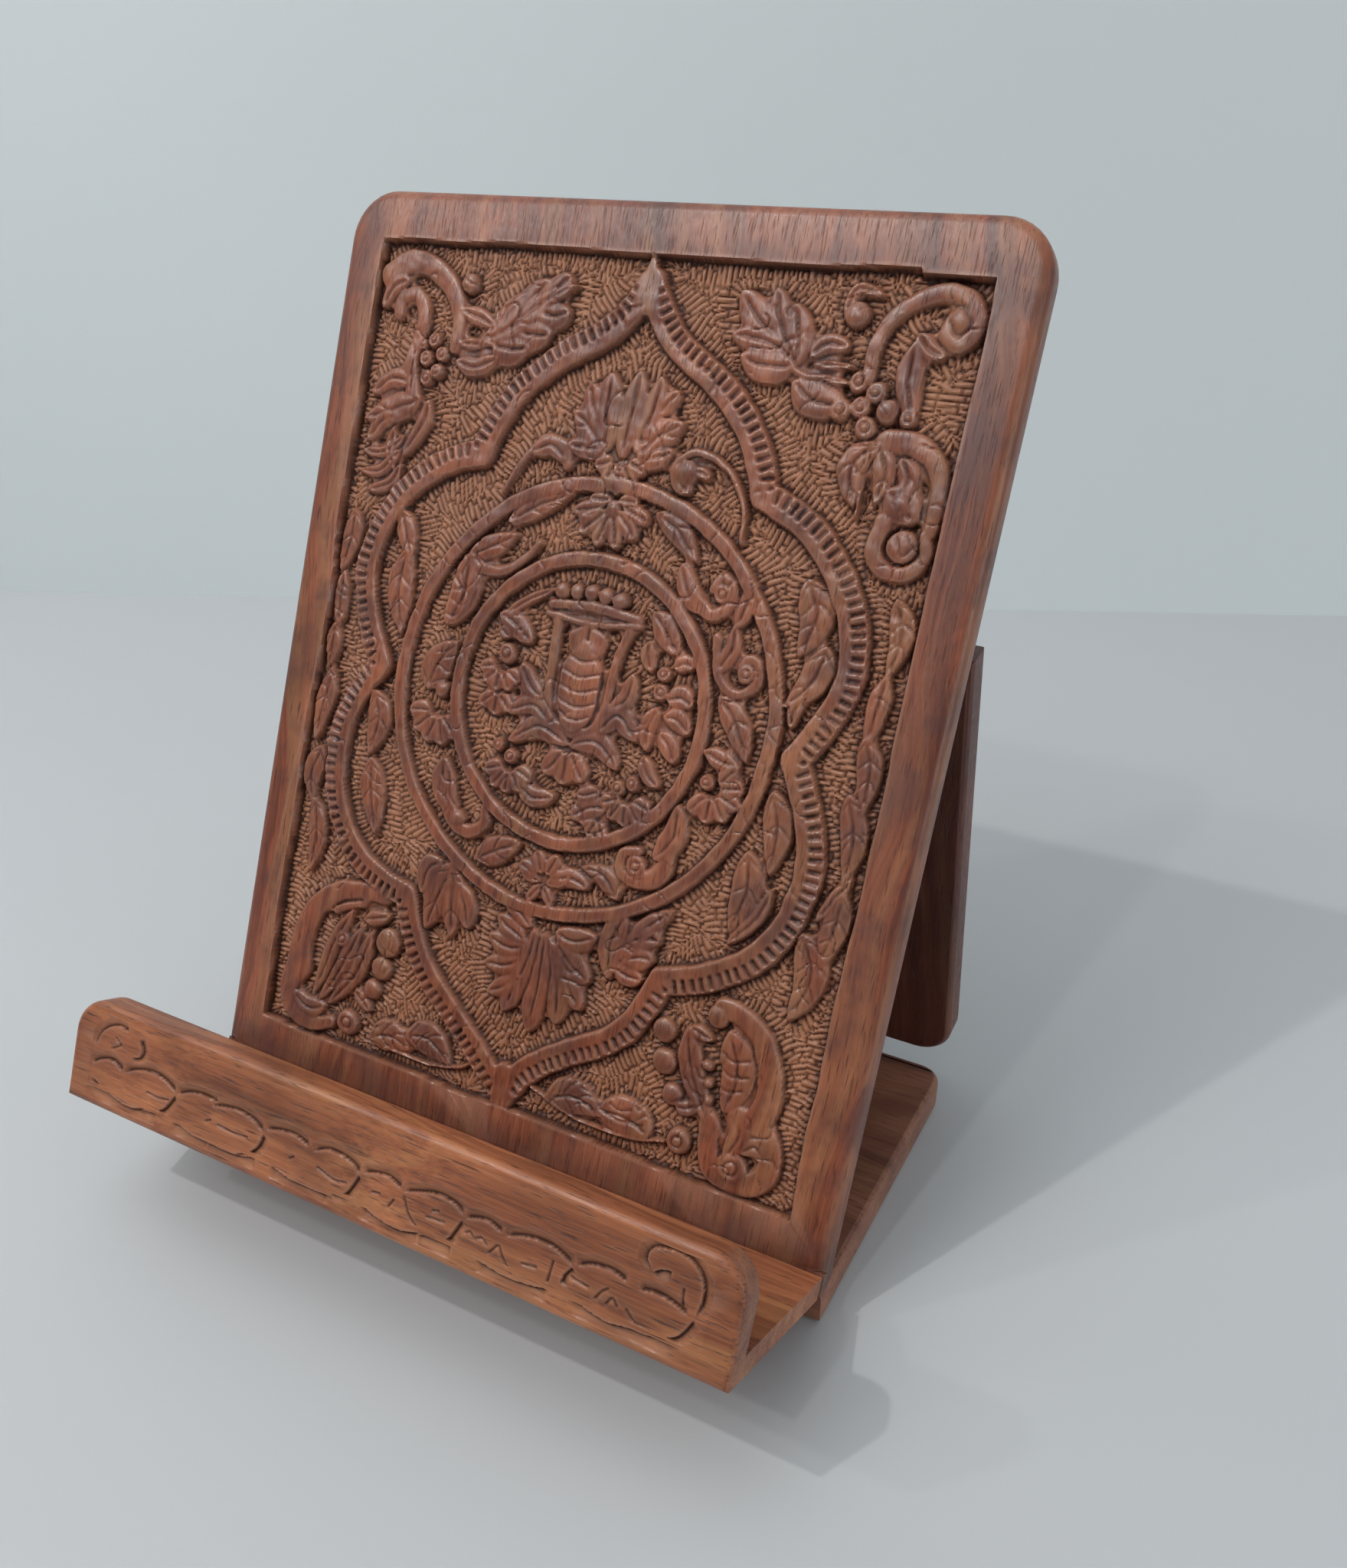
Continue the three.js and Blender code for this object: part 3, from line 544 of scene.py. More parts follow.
# Each stem: its width at its start and at its end, and its points
STEMS = [
    (4, 7.6, (-58, 212), (-58, 218), (-60, 224), (-64.5, 229.5), (-71, 233.2), (-78, 234), (-84, 230)),
    (5, 4, (-70, 199), (-72, 207), (-70.5, 214), (-70.5, 221), (-74, 225.5), (-78.5, 224), (-79, 220)),
    (2.2, 1.6, (42, 215), (46, 213.6), (51, 213.6)),
    (3.6, 5.6, (62, 214), (62, 221), (64.5, 227.5), (70, 232.5), (77, 235), (83, 232.5), (85, 227.5),
     (82, 223.5), (79.3, 226), (81, 229)),
    (6.4, 4, (70, 200.5), (77, 200), (83, 196), (85.3, 189), (84.8, 180.5)),
    (4.6, 3.4, (73, 182), (72, 175.5), (75, 171.3), (81, 170.6), (85, 174.5), (84.3, 180)),
    (1, 1, (66, 188), (66, 182)),
    (1.6, 3.4, (-34.5, 175.5), (-31.5, 182), (-27, 188.5), (-22, 191), (-17, 189), (-16, 185)),
    (1.5, 2.4, (38, 172), (37, 180), (33, 187), (27, 191), (20.5, 192.3), (16.5, 189.5)),
    (4.2, 2, (-42, 156), (-36, 154.5), (-30, 155), (-24.5, 159), (-20, 164)),
    (3.8, 3, (28, 156), (34, 153), (38.7, 156.5), (38.5, 161), (35, 162.5), (33.2, 159.5)),
    (3, 3, (37, 148), (38, 141), (41, 136.6), (46, 135.3), (50, 139), (49.3, 143.6), (46, 144),
     (45.2, 141)),
    (5.4, 3.2, (-37, 95), (-33.5, 86), (-27.5, 82.6), (-22, 86), (-22.5, 90.5)),
    (3.4, 3.2, (36, 93), (34, 85.5), (28, 81.5), (22.5, 83.5), (22.3, 88.5), (26, 90)),
    (3.2, 3.2, (-12.5, 148.6), (0, 149.8), (13.5, 148.4)),
    (2, 2, (-13.5, 146), (0, 145.2), (14.5, 146.8)),
    (3.2, 2.8, (-10, 145), (-9.5, 135), (-9, 125), (-6.5, 118.5), (0, 116)),
    (3.2, 2.8, (12, 145), (9.6, 137), (8.8, 126), (6.5, 118.5), (0, 116)),
    (5, 9, (-50, 57.5), (-60, 57), (-69, 54), (-75.5, 47), (-78, 38), (-77.8, 29)),
    (8.4, 4, (-77.5, 31), (-80.5, 22), (-77, 15.5), (-70, 13.4), (-62.5, 15.5)),
    (3, 2, (-67, 49.5), (-62, 52), (-57.5, 53.5), (-55.5, 57)),
    (1.4, 1, (-48, 15.6), (-30, 14.4), (-18, 16), (-10, 20)),
    (5, 8, (58.5, 57), (65, 56), (71, 52), (74.6, 45), (75.8, 37), (73.5, 29)),
    (6.5, 6, (69, 31), (76, 29), (79.6, 23.5), (78.4, 17), (72.5, 13.8), (65, 15.2), (62.5, 20.5),
     (61.5, 27)),
    (1.4, 1.1, (8, 19), (22, 15), (40, 15.6), (50, 17.5)),
]
# Each berry with a ring cut in it: x, y and radius
BERRIES = [
    (-65, 213.3, 2.2), (-61.8, 209.8, 2.2), (-67, 208.3, 2.4), (-62.8, 205.2, 2.2), (-69, 212, 1.8),
    (-66.2, 203.2, 2.2), (60, 213.4, 2.8), (65, 211.2, 2.7), (61.8, 207.6, 2.7), (57, 206.6, 2.8),
    (64, 203, 2.8), (74, 206, 2.3), (36, 158.6, 2.6), (46.6, 140.6, 2.6), (42, 112, 2.2), (26.5, 86, 3.2),
    (-24, 133.2, 2.8), (24, 136.3, 2.1), (24, 131.6, 2.3), (-17.3, 106, 2.2), (-21.8, 108.6, 1.9),
    (17, 105, 2.2), (21, 107, 2), (-56.5, 17.4, 3.8), (-63, 41.5, 2.6), (54, 19, 3.6), (70, 17.5, 4.4),
]
# Each plain berry or bud: x, y and radius
BUDS = [
    (-56.5, 229, 2.8), (68.6, 207.2, 2.9), (56, 228.4, 3.2), (81.5, 228.3, 3.2), (79, 176.8, 4),
    (0, 175.6, 2.4), (-7.6, 172.3, 2.1), (-43, 120, 2.6), (-10.5, 152.5, 2.3), (-6, 153, 2.3),
    (-1.5, 153.3, 2.4), (3, 153.2, 2.4), (7.3, 152.6, 2.3), (-47, 44.6, 4.4), (-48, 36.6, 3.6),
    (-50, 29.8, 3.1), (58, 41.5, 1.6), (59, 37, 1.5), (60, 32.6, 1.4), (44, 46.6, 3.3), (45.6, 38.4, 3.6),
    (49.6, 30.6, 3.1), (58, 54.5, 3.2), (76.5, 186, 3.2), (-31, 86, 2.6), (19.5, 187, 3.4),
]
# Each fan of petals: its centre, inner and outer radius, first and last angle, count, petal width
FANS = [
    (0, 189, 2.5, 8.4, 205, 335, 5, 4.8), (0, 177.5, 3, 12.4, 200, 340, 6, 4.8),
    (0, 177.8, 1, 7.4, 0, 180, 3, 4), (-43, 114, 2, 10, 190, 320, 5, 5.8),
    (44, 110.5, 2, 9, -130, 50, 6, 5.2), (0, 75, 2, 9, 25, 155, 4, 4.8), (0, 75, 1, 7, 170, 370, 4, 3.6),
    (0, 113, 2, 11, 235, 305, 3, 6.4), (-25, 130, 2, 7.4, 195, 330, 5, 4.8),
    (-25, 123, 1, 7, 225, 315, 3, 4.8), (-17, 104, 2, 8.4, 200, 340, 5, 4.8),
    (20, 103.5, 2, 8, 205, 345, 5, 4.8), (-23, 137, 1, 5, 60, 150, 2, 4),
    (13, 96, 1, 6, 200, 300, 3, 4.2),
]
# Each cut line across a raised piece: its depth and its points
CUTS = [
    (0.5, (-5.5, 137), (0, 135.5), (5.5, 137)), (0.5, (-5.8, 133), (0, 131.4), (5.8, 133)),
    (0.5, (-5.8, 129), (0, 127.4), (5.8, 129)), (0.5, (-5.4, 125), (0, 123.4), (5.4, 125)),
    (0.5, (-4.6, 121.5), (0, 119.8), (4.6, 121.5)), (0.45, (61.5, 46), (65, 44.5), (69, 46)),
    (0.45, (61.5, 42), (65, 40.6), (69.5, 42)), (0.45, (61, 38), (64.5, 36.6), (68.5, 38)),
    (0.45, (30, 20.6), (36, 19.4), (43, 20)), (0.4, (33, 23), (36, 22), (39, 23)),
    (0.5, (43, 216), (38.5, 222), (35, 229)), (0.4, (42, 217), (35, 220.5), (28, 222)),
    (0.5, (-45, 151), (-41.5, 147), (-43, 141), (-47, 141)), (0.45, (-36, 98), (-34, 91), (-29, 87.5)),
    (0.45, (2.5, 60), (1.5, 48), (-1, 38)), (0.45, (5, 61), (8, 50), (8, 39)),
    (0.4, (77, 179), (79.5, 174.5), (82.5, 177.5)), (0.45, (81, 231.5), (84, 228), (81.5, 225), (79, 228)),
    (0.4, (75, 197.5), (80, 195), (83, 190)),
]
# The band's halves, each from its upper tip to its lower tip in four bows
RIGHT_BAND = [
    [(-0.4, 232.6), (3.6, 225.6), (8, 219.9), (13.5, 215.6), (19.5, 212.1), (25, 208.4), (29.8, 204.3),
     (34, 199.8), (37.5, 194.5), (40, 189.2), (41.6, 183.9)],
    [(41.6, 183.9), (47, 182), (53, 179.2), (58, 175.7), (63, 171.1), (67, 166), (70.4, 159.5), (72.7, 152),
     (73.3, 145.5), (72.3, 139.5), (70, 133.7), (67, 127.8), (64, 122)],
    [(64, 122), (66.8, 117.4), (69.6, 112), (71.9, 106.2), (73.2, 100), (73.3, 94), (72.3, 88),
     (70.4, 81.5), (67.6, 76), (63.6, 70.6), (58.6, 66.6), (53, 63.3), (47, 60.6), (40.6, 58.6)],
    [(40.6, 58.6), (38.8, 53.6), (36.3, 48.2), (32.8, 43), (28.2, 38.4), (22.4, 34.7), (15.4, 30.4),
     (9.2, 26), (4, 21), (-0.6, 14.6)],
]
LEFT_BAND = [
    [(-0.4, 232.6), (-4.6, 225.6), (-9.6, 220.4), (-15.6, 216.6), (-22.2, 212.9), (-29, 207.8),
     (-35, 202.2), (-39.2, 195.6), (-42.2, 189), (-43.6, 184.6)],
    [(-43.6, 184.6), (-49, 183.4), (-54.6, 181), (-60.6, 177.3), (-66.2, 172.4), (-70.6, 166.6),
     (-74.4, 158.6), (-76, 150), (-75.2, 143.6), (-73, 136.6), (-69.6, 129.8), (-65.6, 122.8)],
    [(-65.6, 122.8), (-69.8, 117), (-73.2, 110.4), (-75.4, 103), (-76, 96), (-75.4, 89), (-73.6, 82),
     (-70.4, 75.4), (-66, 69.8), (-60, 65.4), (-53.4, 62.4), (-47.4, 60.6), (-43.4, 59.8)],
    [(-43.4, 59.8), (-40.6, 53.4), (-36.4, 46), (-31.2, 39.8), (-25, 34.6), (-18.6, 29.4), (-12, 24),
     (-6, 18.6), (-0.6, 13.6)],
]
# The edges of the carving's grid, the rings and the band between its two pointed tips
PANEL_GRID = (-89, 89, 9.6, 240.8)
MEDALLION = (-0.4, 124.3)
RING_RADII = (57.3, 37.9)
RING_WIDTH, RING_TOP = 4.2, 2.3
BAND_WIDTH, BAND_TOP = 7.7, 2.6
TIP_WIDTH, TIP_CROWN = 8.5, 0.1
LONG_LEAF = [(-50, 213.5), (-41, 218.5), (-32, 225.5), (-21.5, 230.5)]
VASE_LEAF = [(0, 141), (0, 130), (0, 116.5)]
TOP_TIP = [(-0.6, 228), (-0.8, 234), (-0.9, 240.4)]
BOTTOM_TIP = [(-0.8, 19), (-0.6, 14), (-0.4, 9.8)]


def carve_panel(pitch):
    """All motifs of the panel's field, above a level ground."""
    r = Relief(*PANEL_GRID, pitch)
    for width, veins, *points in LEAVES:
        points = np.reshape(points, (-1, 2))
        r.leaf(points, 1.15 * width, top=2.15, veins=veins, blunt=0.15 if veins else 0.6)
    r.leaf(LONG_LEAF, width=8.5, top=2.3, veins=3)
    for w0, w1, *points in STEMS:
        r.stem(smooth_line(points), w0, w1)
    for fan in FANS:
        r.fan(*fan)
    r.leaf(VASE_LEAF, width=12.5, top=2.5, blunt=1.0, rib=0)
    r.merge(reach=1.5, height=1.25)
    for x, y, radius in BERRIES:
        r.berry(x, y, radius, ring=0.60)
    for x, y, radius in BUDS:
        r.berry(x, y, radius, ring=0)
    for depth, *points in CUTS:
        r.groove(points, width=0.38, depth=depth)
    for radius in RING_RADII:
        r.ring(*MEDALLION, radius, RING_WIDTH, RING_TOP)
    for band, outside in ((RIGHT_BAND, 1), (LEFT_BAND, -1)):
        for part in band:
            r.band(smooth_line(part), BAND_WIDTH, BAND_TOP, outside)
    r.stem(TOP_TIP, TIP_WIDTH, 0.8, BAND_TOP, TIP_CROWN)
    r.stem(BOTTOM_TIP, TIP_WIDTH, 1.2, BAND_TOP, TIP_CROWN)
    return r


# Outlines of the leaves on the lip, each cut with a slope on the line's left
FRONT_OUTLINES = [
    [(-80, 6.8), (-76, 8.8), (-71, 9.9), (-66, 9.4), (-61, 7.2)],
    [(-61.2, 6.8), (-63.3, 3.4), (-65.5, 1), (-70, -0.2), (-75, -1.6)],
    [(-60.8, 7.2), (-56, 9.2), (-51, 9.8), (-46.5, 9.2)],
    [(-49, 8), (-44, 9.2), (-40, 9.7), (-35, 9), (-31, 6.8)],
    [(-31, 6.6), (-32, 3.2), (-34.5, 0.4), (-39, -1.6)], [(-30.5, 8), (-26, 9.3), (-21, 9.6), (-16.5, 8.4)],
    [(-15, 7.8), (-11, 9.6), (-6, 9.6), (-2.5, 8.6), (-0.5, 7)],
    [(-0.5, 6.8), (-2.2, 3.2), (-4, 0.6), (-8, -1)], [(0.5, 7.8), (4, 9), (8, 9.3), (12, 7.8)],
    [(12.5, 7.4), (17, 9), (22, 10.2), (27, 9.7), (30, 7.8)],
    [(29.8, 7), (28, 3.2), (26.5, 0.6), (23, -0.8), (18.5, -0.5)],
    [(30.5, 7.6), (34, 8.8), (37, 9), (40.5, 7.8)],
    [(41.5, 7.4), (46, 9.1), (52, 9.8), (57, 8.6), (59.5, 7)], [(59.5, 6.8), (57.8, 4.4), (57.4, 2.2)],
    [(60.5, 7.8), (64, 9.4), (69, 9.9), (73, 8.8)], [(76, 8.4), (80, 9.2), (84, 8.7), (88, 7.4)],
    [(-91.8, 5.6), (-89.5, 7.4), (-85, 8.6), (-80.5, 6.8)],
    [(-91.6, 10.6), (-89.6, 15.4), (-85, 18.2), (-80, 18)],
    [(-76.2, 16.9), (-74.6, 14.4), (-75.4, 12.2), (-78, 11.4)],
    [(78.5, 13.2), (76.3, 15.6), (77, 18.4), (80, 19.6), (84, 19.9), (87.6, 18.6), (90, 15.8), (90.7, 12),
     (89.8, 7.4)],
    [(89.7, 7), (88, 3.5), (85.6, 1), (80, -0.4)], [(82.5, 15), (80, 14.4), (78.5, 13.2)],
]
# The hollows below the leaves, from right to left
FRONT_HOLLOWS = [
    [(-66, -0.3), (-72, -1.4), (-79, -1.9), (-86, -0.3), (-91.5, 2)],
    [(-48, -2.0), (-55, -1.7), (-61, 0.3)], [(-32, 0), (-37, -1.7), (-43, -2.1), (-50, -1.9)],
    [(-8, -1.7), (-15, -1.9), (-21, -1.9), (-28, -0.4)], [(19, -0.8), (13, -2.3), (7, -1.9), (1, -0.2)],
    [(28, -0.1), (23, -1.1), (18, -1.2)], [(55, -0.4), (49, -1.6), (42, -1.9), (35, -1)],
    [(88, 0.6), (80, -0.9), (75, -1.2), (70, -1.9), (64, -1), (60, 0.8)],
]
# Veins and nicks in the leaves
FRONT_VEINS = [
    [(-71, 4.2), (-67, 4), (-63.5, 4.6)], [(-50, 3.6), (-48.6, 4.2)], [(-46, 3.8), (-41, 3.6), (-36, 4)],
    [(-22, 3.4), (-20.8, 4.2)], [(-13, 4.2), (-8, 3), (-4, 3.5)], [(4, 4.2), (6, 4.5)],
    [(9, 2.4), (10.2, 4.4)], [(20, 3.9), (25, 4.4)], [(21.5, 6), (23, 6.4)],
    [(31, 4.1), (32.2, 4.8), (33.6, 3.7), (35.4, 4.6), (37, 3.6)], [(38, 2), (39.7, 4.3)],
    [(47, 2.9), (50.5, 3.3)], [(59.5, 4.6), (64, 4.1)], [(66.2, 2.4), (67.4, 4.4), (68.8, 5.6)],
    [(69, 2.2), (70.2, 4), (71.6, 2.6)], [(-84.4, 14.9), (-82.4, 13.6)], [(-85.4, 11.8), (-82.6, 13.4)],
    [(13, 6.2), (15, 2.6), (18.5, -0.2)], [(40.3, 4.5), (42, 2), (44.5, -0.6)], [(54.5, 6.4), (54, 1.5)],
    [(74, 2.8), (76.5, 0.8), (80, 0.4)], [(86, 12.5), (86.3, 9)],
]
FRONT_GRID = (-92.8, 92.8, -3.7, 20.3)


def carve_front(pitch):
    """The cuts in the front of the lip and the ledge."""
    r = Relief(*FRONT_GRID, pitch, floor=-1.2)
    for line in FRONT_OUTLINES:
        r.slope_cut(line, depth=0.92, width=2.3)
    for line in FRONT_HOLLOWS:
        r.slope_cut(line, depth=1.15, width=3.6)
    for line in FRONT_VEINS:
        r.groove(line, width=0.34, depth=0.50)
    r.h -= 0.03 * lumps(r.h.shape, 3 / pitch, 12)
    r.y += LEDGE_TOP
    return r


# The ground's strokes are this far apart and follow this many directions
STROKE = 1.5
DIRECTIONS = 10
# The sunk field's left, right, lower and upper edge, and its depth
FIELD = (-87.8, 87.8, 10.8, 239.3)
DEPTH = 3.0


def by_hand(r):
    """Shifts the relief here and there by a fraction of a millimetre, as a hand-held gouge does."""
    cell = 1 / r.pitch
    rows, columns = np.indices(r.h.shape).astype(float)
    rows += cell * (0.16 * lumps(r.h.shape, 6 * cell, 31) + 0.09 * lumps(r.h.shape, 1.2 * cell, 32))
    columns += cell * (0.16 * lumps(r.h.shape, 6 * cell, 33) + 0.09 * lumps(r.h.shape, 1.2 * cell, 34))
    rows = np.clip(rows, 0, r.h.shape[0] - 1.001)
    columns = np.clip(columns, 0, r.h.shape[1] - 1.001)
    i, j = rows.astype(int), columns.astype(int)
    u, v = rows - i, columns - j
    low = r.h[i, j] * (1 - v) + r.h[i, j + 1] * v
    high = r.h[i + 1, j] * (1 - v) + r.h[i + 1, j + 1] * v
    return low * (1 - u) + high * u


def field_walls(x, y, cell):
    """1 on the border around the field and 0 inside, with an uneven edge and a notch at the top right."""
    top = FIELD[3] - step(x, 69.4, 70.2)
    edge = np.minimum(np.minimum(x - FIELD[0], FIELD[1] - x), np.minimum(y - FIELD[2], top - y))
    return step(-edge - 0.22 * lumps(x.shape, 6 * cell, 5), -0.55, 0.1)


def stroke_angle(raised, cell):
    """The direction of the tool marks, which point away from what is raised."""
    gy, gx = np.gradient(blur(raised, 2.4 * cell))
    size = np.hypot(gx, gy) + 1e-9
    # Doubled angles, so that opposite directions agree before they are evened out
    c2 = blur((gx * gx - gy * gy) / size, 1.6 * cell)
    s2 = blur(2 * gx * gy / size, 1.6 * cell)
    turn = 0.5 * np.arctan2(s2, c2) / (np.pi / DIRECTIONS) + 0.25 * lumps(raised.shape, 5 * cell, 8)
    return np.round(turn) * np.pi / DIRECTIONS


def tool_marks(x, y, angle, cell):
    """Rows of rounded strokes along an angle, 1 at their crests and 0 between them."""
    across = -np.sin(angle) * x + np.cos(angle) * y + 0.30 * lumps(x.shape, 2.0 * cell, 2)
    along = np.cos(angle) * x + np.sin(angle) * y
    k = np.floor(across / STROKE)
    place = np.abs(across / STROKE - k - 0.5) * 2
    row = along / (5.0 + 3.0 * scatter(k)) + scatter(k + 7)
    end = np.clip(3.0 * np.sin(np.pi * (row - np.floor(row))), 0, 1)
    return (1 - place ** 2.6) * end * (0.55 + 0.45 * scatter(k * 3 + np.floor(row)))


def finish_ground(r):
    """The carved surface's height over the deepest ground: walls, tool marks and slight unevenness."""
    x, y = np.meshgrid(r.x, r.y)
    shape, cell = r.h.shape, 1 / r.pitch
    h = by_hand(r)
    wall = field_walls(x, y, cell)
    raised = np.maximum(np.clip(h / 0.6, 0, 1), wall)
    marks = tool_marks(x, y, stroke_angle(raised, cell), cell)
    ground = 0.90 * marks - 0.40 - 0.08 * lumps(shape, 1.5 * cell, 3)
    uneven = 0.09 * lumps(shape, 2.2 * cell, 4) + 0.045 * lumps(shape, 0.9 * cell, 6)
    lines = np.clip(1 - np.abs(lumps(shape, 2.0 * cell, 41)) / 0.22, 0, 1)
    nicks = lines * step(lumps(shape, 3 * cell, 42), 0.0, 0.6)
    bare = 1 - step(h, 0.1, 0.9)
    h = h + ground * bare + (uneven - 0.38 * nicks) * (1 - bare)
    return h * (1 - wall) + DEPTH * wall


# Boards
# Edges that bend by more than CREASE stay sharp, and less than LEVEL mm apart counts as level
CREASE = math.radians(40)
LEVEL = 0.01


def board_mesh(node, place):
    """A CAD board in its own frame, with its coplanar facets joined."""
    bm = bmesh.new()
    bm.from_mesh(frame["nodes"][node].data)
    for vert, co in zip(bm.verts, place.inward([v.co for v in bm.verts])):
        vert.co = co
    bmesh.ops.remove_doubles(bm, verts=bm.verts, dist=0.001)
    bmesh.ops.dissolve_limit(bm, angle_limit=math.radians(0.5), verts=bm.verts, edges=bm.edges)
    return bm


def square_off(bm, face, side, above=-1.0):
    """Takes away the chamfer between the levels face and side, which leaves a sharp arris."""
    def pair(top, low):
        return abs(top.co.z - face) < LEVEL and abs(low.co.z - side) < LEVEL and low.co.y > above

    ends = [tuple(edge.verts) for edge in bm.edges]
    pairs = [(a, b) for a, b in ends + [(b, a) for a, b in ends] if pair(a, b)]
    for top, low in pairs:
        top.co = low.co = (low.co.x, low.co.y, face)
    bmesh.ops.remove_doubles(bm, verts=bm.verts, dist=0.001)


def split(bm, *heights):
    """Cuts all faces along lines across the board."""
    for y in heights:
        everything = bm.verts[:] + bm.edges[:] + bm.faces[:]
        bmesh.ops.bisect_plane(bm, geom=everything, plane_co=(0, y, 0), plane_no=(0, 1, 0))


def round_over(bm, radius, segments, level, keep):
    """Rounds the outer arris at a level, where keep(x, y) is true of an edge's middle."""
    edges = []
    for e in bm.edges:
        a, b = (v.co for v in e.verts)
        at_level = abs(a.z - level) < LEVEL and abs(b.z - level) < LEVEL
        if at_level and e.calc_face_angle(0) > math.radians(20) and keep(*((a + b) / 2).xy):
            edges.append(e)
    bmesh.ops.bevel(bm, geom=edges, offset=radius, segments=segments, profile=0.5, affect="EDGES")


def arrays(bm):
    bm.verts.index_update()
    return np.array([v.co for v in bm.verts]), [[v.index for v in f.verts] for f in bm.faces]


def add_board(name, node, body, slot, place, verts, faces, attributes=()):
    """A smooth-shaded board from its own millimetres, which rides on a body in place of a CAD node."""
    mesh = bpy.data.meshes.new(name)
    mesh.from_pydata(place.outward(verts), [], faces)
    mesh.validate()
    for key, values in attributes:
        mesh.attributes.new(key, "FLOAT", "POINT").data.foreach_set("value", values.astype(np.float32))
    mesh.shade_smooth()
    mesh.set_sharp_from_angle(angle=CREASE)
    obj = bpy.data.objects.new(name, mesh)
    bpy.context.collection.objects.link(obj)
    dress(obj, slot)
    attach(obj, body)
    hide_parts(node)
    return obj


def clear_front(bm, plane, box, drop):
    """Takes out the front face at z = plane and, inside the box, the CAD's own carving down to drop."""
    x0, x1, y0, y1 = box
    lowest = plane - drop - 0.8

    def carved(v):
        return v.co.z > lowest and x0 < v.co.x < x1 and y0 < v.co.y < y1

    def goes(face):
        level = all(abs(v.co.z - plane) < LEVEL for v in face.verts)
        return level or (drop and all(carved(v) for v in face.verts))

    bmesh.ops.delete(bm, geom=[f for f in bm.faces if goes(f)], context="FACES")
    bmesh.ops.triangulate(bm, faces=bm.faces)


def enclosed(spot, starts, ends):
    """Whether closed runs of edges enclose a spot, told by how many edges lie across and to its right."""
    rise = ends[:, 1] - starts[:, 1]
    level = (starts[:, 1] > spot.y) != (ends[:, 1] > spot.y)
    across = starts[:, 0] + (spot.y - starts[:, 1]) * (ends - starts)[:, 0] / np.where(level, rise, 1)
    return np.count_nonzero(level & (across > spot.x)) % 2 == 1


def fill_margin(verts, rim, border, box):
    """Triangles from a board's rim to the border of its grid. Both are given by indices into verts."""
    x0, x1, y0, y1 = box
    known = sorted({v for edge in rim for v in edge}) + list(border)
    place = {v: k for k, v in enumerate(known)}
    lines = [(place[a], place[b]) for a, b in rim + list(zip(border, np.roll(border, -1)))]
    spots = [Vector(verts[v][:2]) for v in known]
    points, _, filled, origins, *_ = geometry.delaunay_2d_cdt(spots, lines, [], 1, 1e-6, True)
    starts, ends = (verts[[edge[k] for edge in rim], :2] for k in (0, 1))
    margin = []
    for face in filled:
        middle = sum((points[k] for k in face), Vector((0, 0))) / len(face)
        on_grid = x0 < middle.x < x1 and y0 < middle.y < y1
        if not on_grid and enclosed(middle, starts, ends):
            margin.append([known[origins[k][0]] for k in face])
    return margin


def carved_mesh(bm, plane, x, y, heights, drop=0):
    """The board in bm with its front face, at z = plane, carved as heights say over the grid of x and y.

    The grid's border is set to 0. drop is how deep the CAD's own carving goes, which is taken out.
    The last result tells how many vertices come before the grid's."""
    box = x[0], x[-1], y[0], y[-1]
    heights[[0, -1]] = 0
    heights[:, [0, -1]] = 0
    clear_front(bm, plane, box, drop)
    verts, faces = arrays(bm)
    start = len(verts)
    rim = [(e.verts[0].index, e.verts[1].index) for e in bm.edges if len(e.link_faces) == 1]
    index = start + np.arange(heights.size).reshape(heights.shape)
    border = np.concatenate([index[0, :-1], index[:-1, -1], index[-1, :0:-1], index[:0:-1, 0]])
    gx, gy = np.meshgrid(x, y)
    verts = np.vstack([verts, np.stack([gx, gy, plane + heights], -1).reshape(-1, 3)])
    faces += fill_margin(verts, rim, border, box)
    corners = index[:-1, :-1], index[:-1, 1:], index[1:, 1:], index[1:, :-1]
    faces += np.stack(corners, -1).reshape(-1, 4).tolist()
    return verts, faces, start


def wear_and_shade(heights, pitch, start, depth):
    """The attributes that the carved wood's colour follows, each from 0 to 1."""
    fine = (blur(heights, 0.5 / pitch) - heights) / 0.22
    broad = blur(heights, 1.4 / pitch) - heights
    # hollow marks painted shade and dirt in the carving's recesses, crest marks rubbed ridges with a
    # painted sheen
    hollow = 0.55 * np.clip(fine, 0, 1) + 0.75 * np.clip(broad, 0, 1)
    fields = {"depth": depth, "hollow": hollow, "crest": -fine}
    rest = np.zeros(start)
    return [("carve_" + key, np.concatenate([rest, np.clip(field, 0, 1).ravel()]))
            for key, field in fields.items()]


def even_shading(obj):
    """Lets large faces keep their own normals beside rounded arrises."""
    modifier = obj.modifiers.new("even_shading", "WEIGHTED_NORMAL")
    modifier.keep_sharp = True


PANEL_BACK, PANEL_CHAMFER = -9, 1.2
FRONT_ARRIS_R, BACK_ARRIS_R = 3.2, 2.1


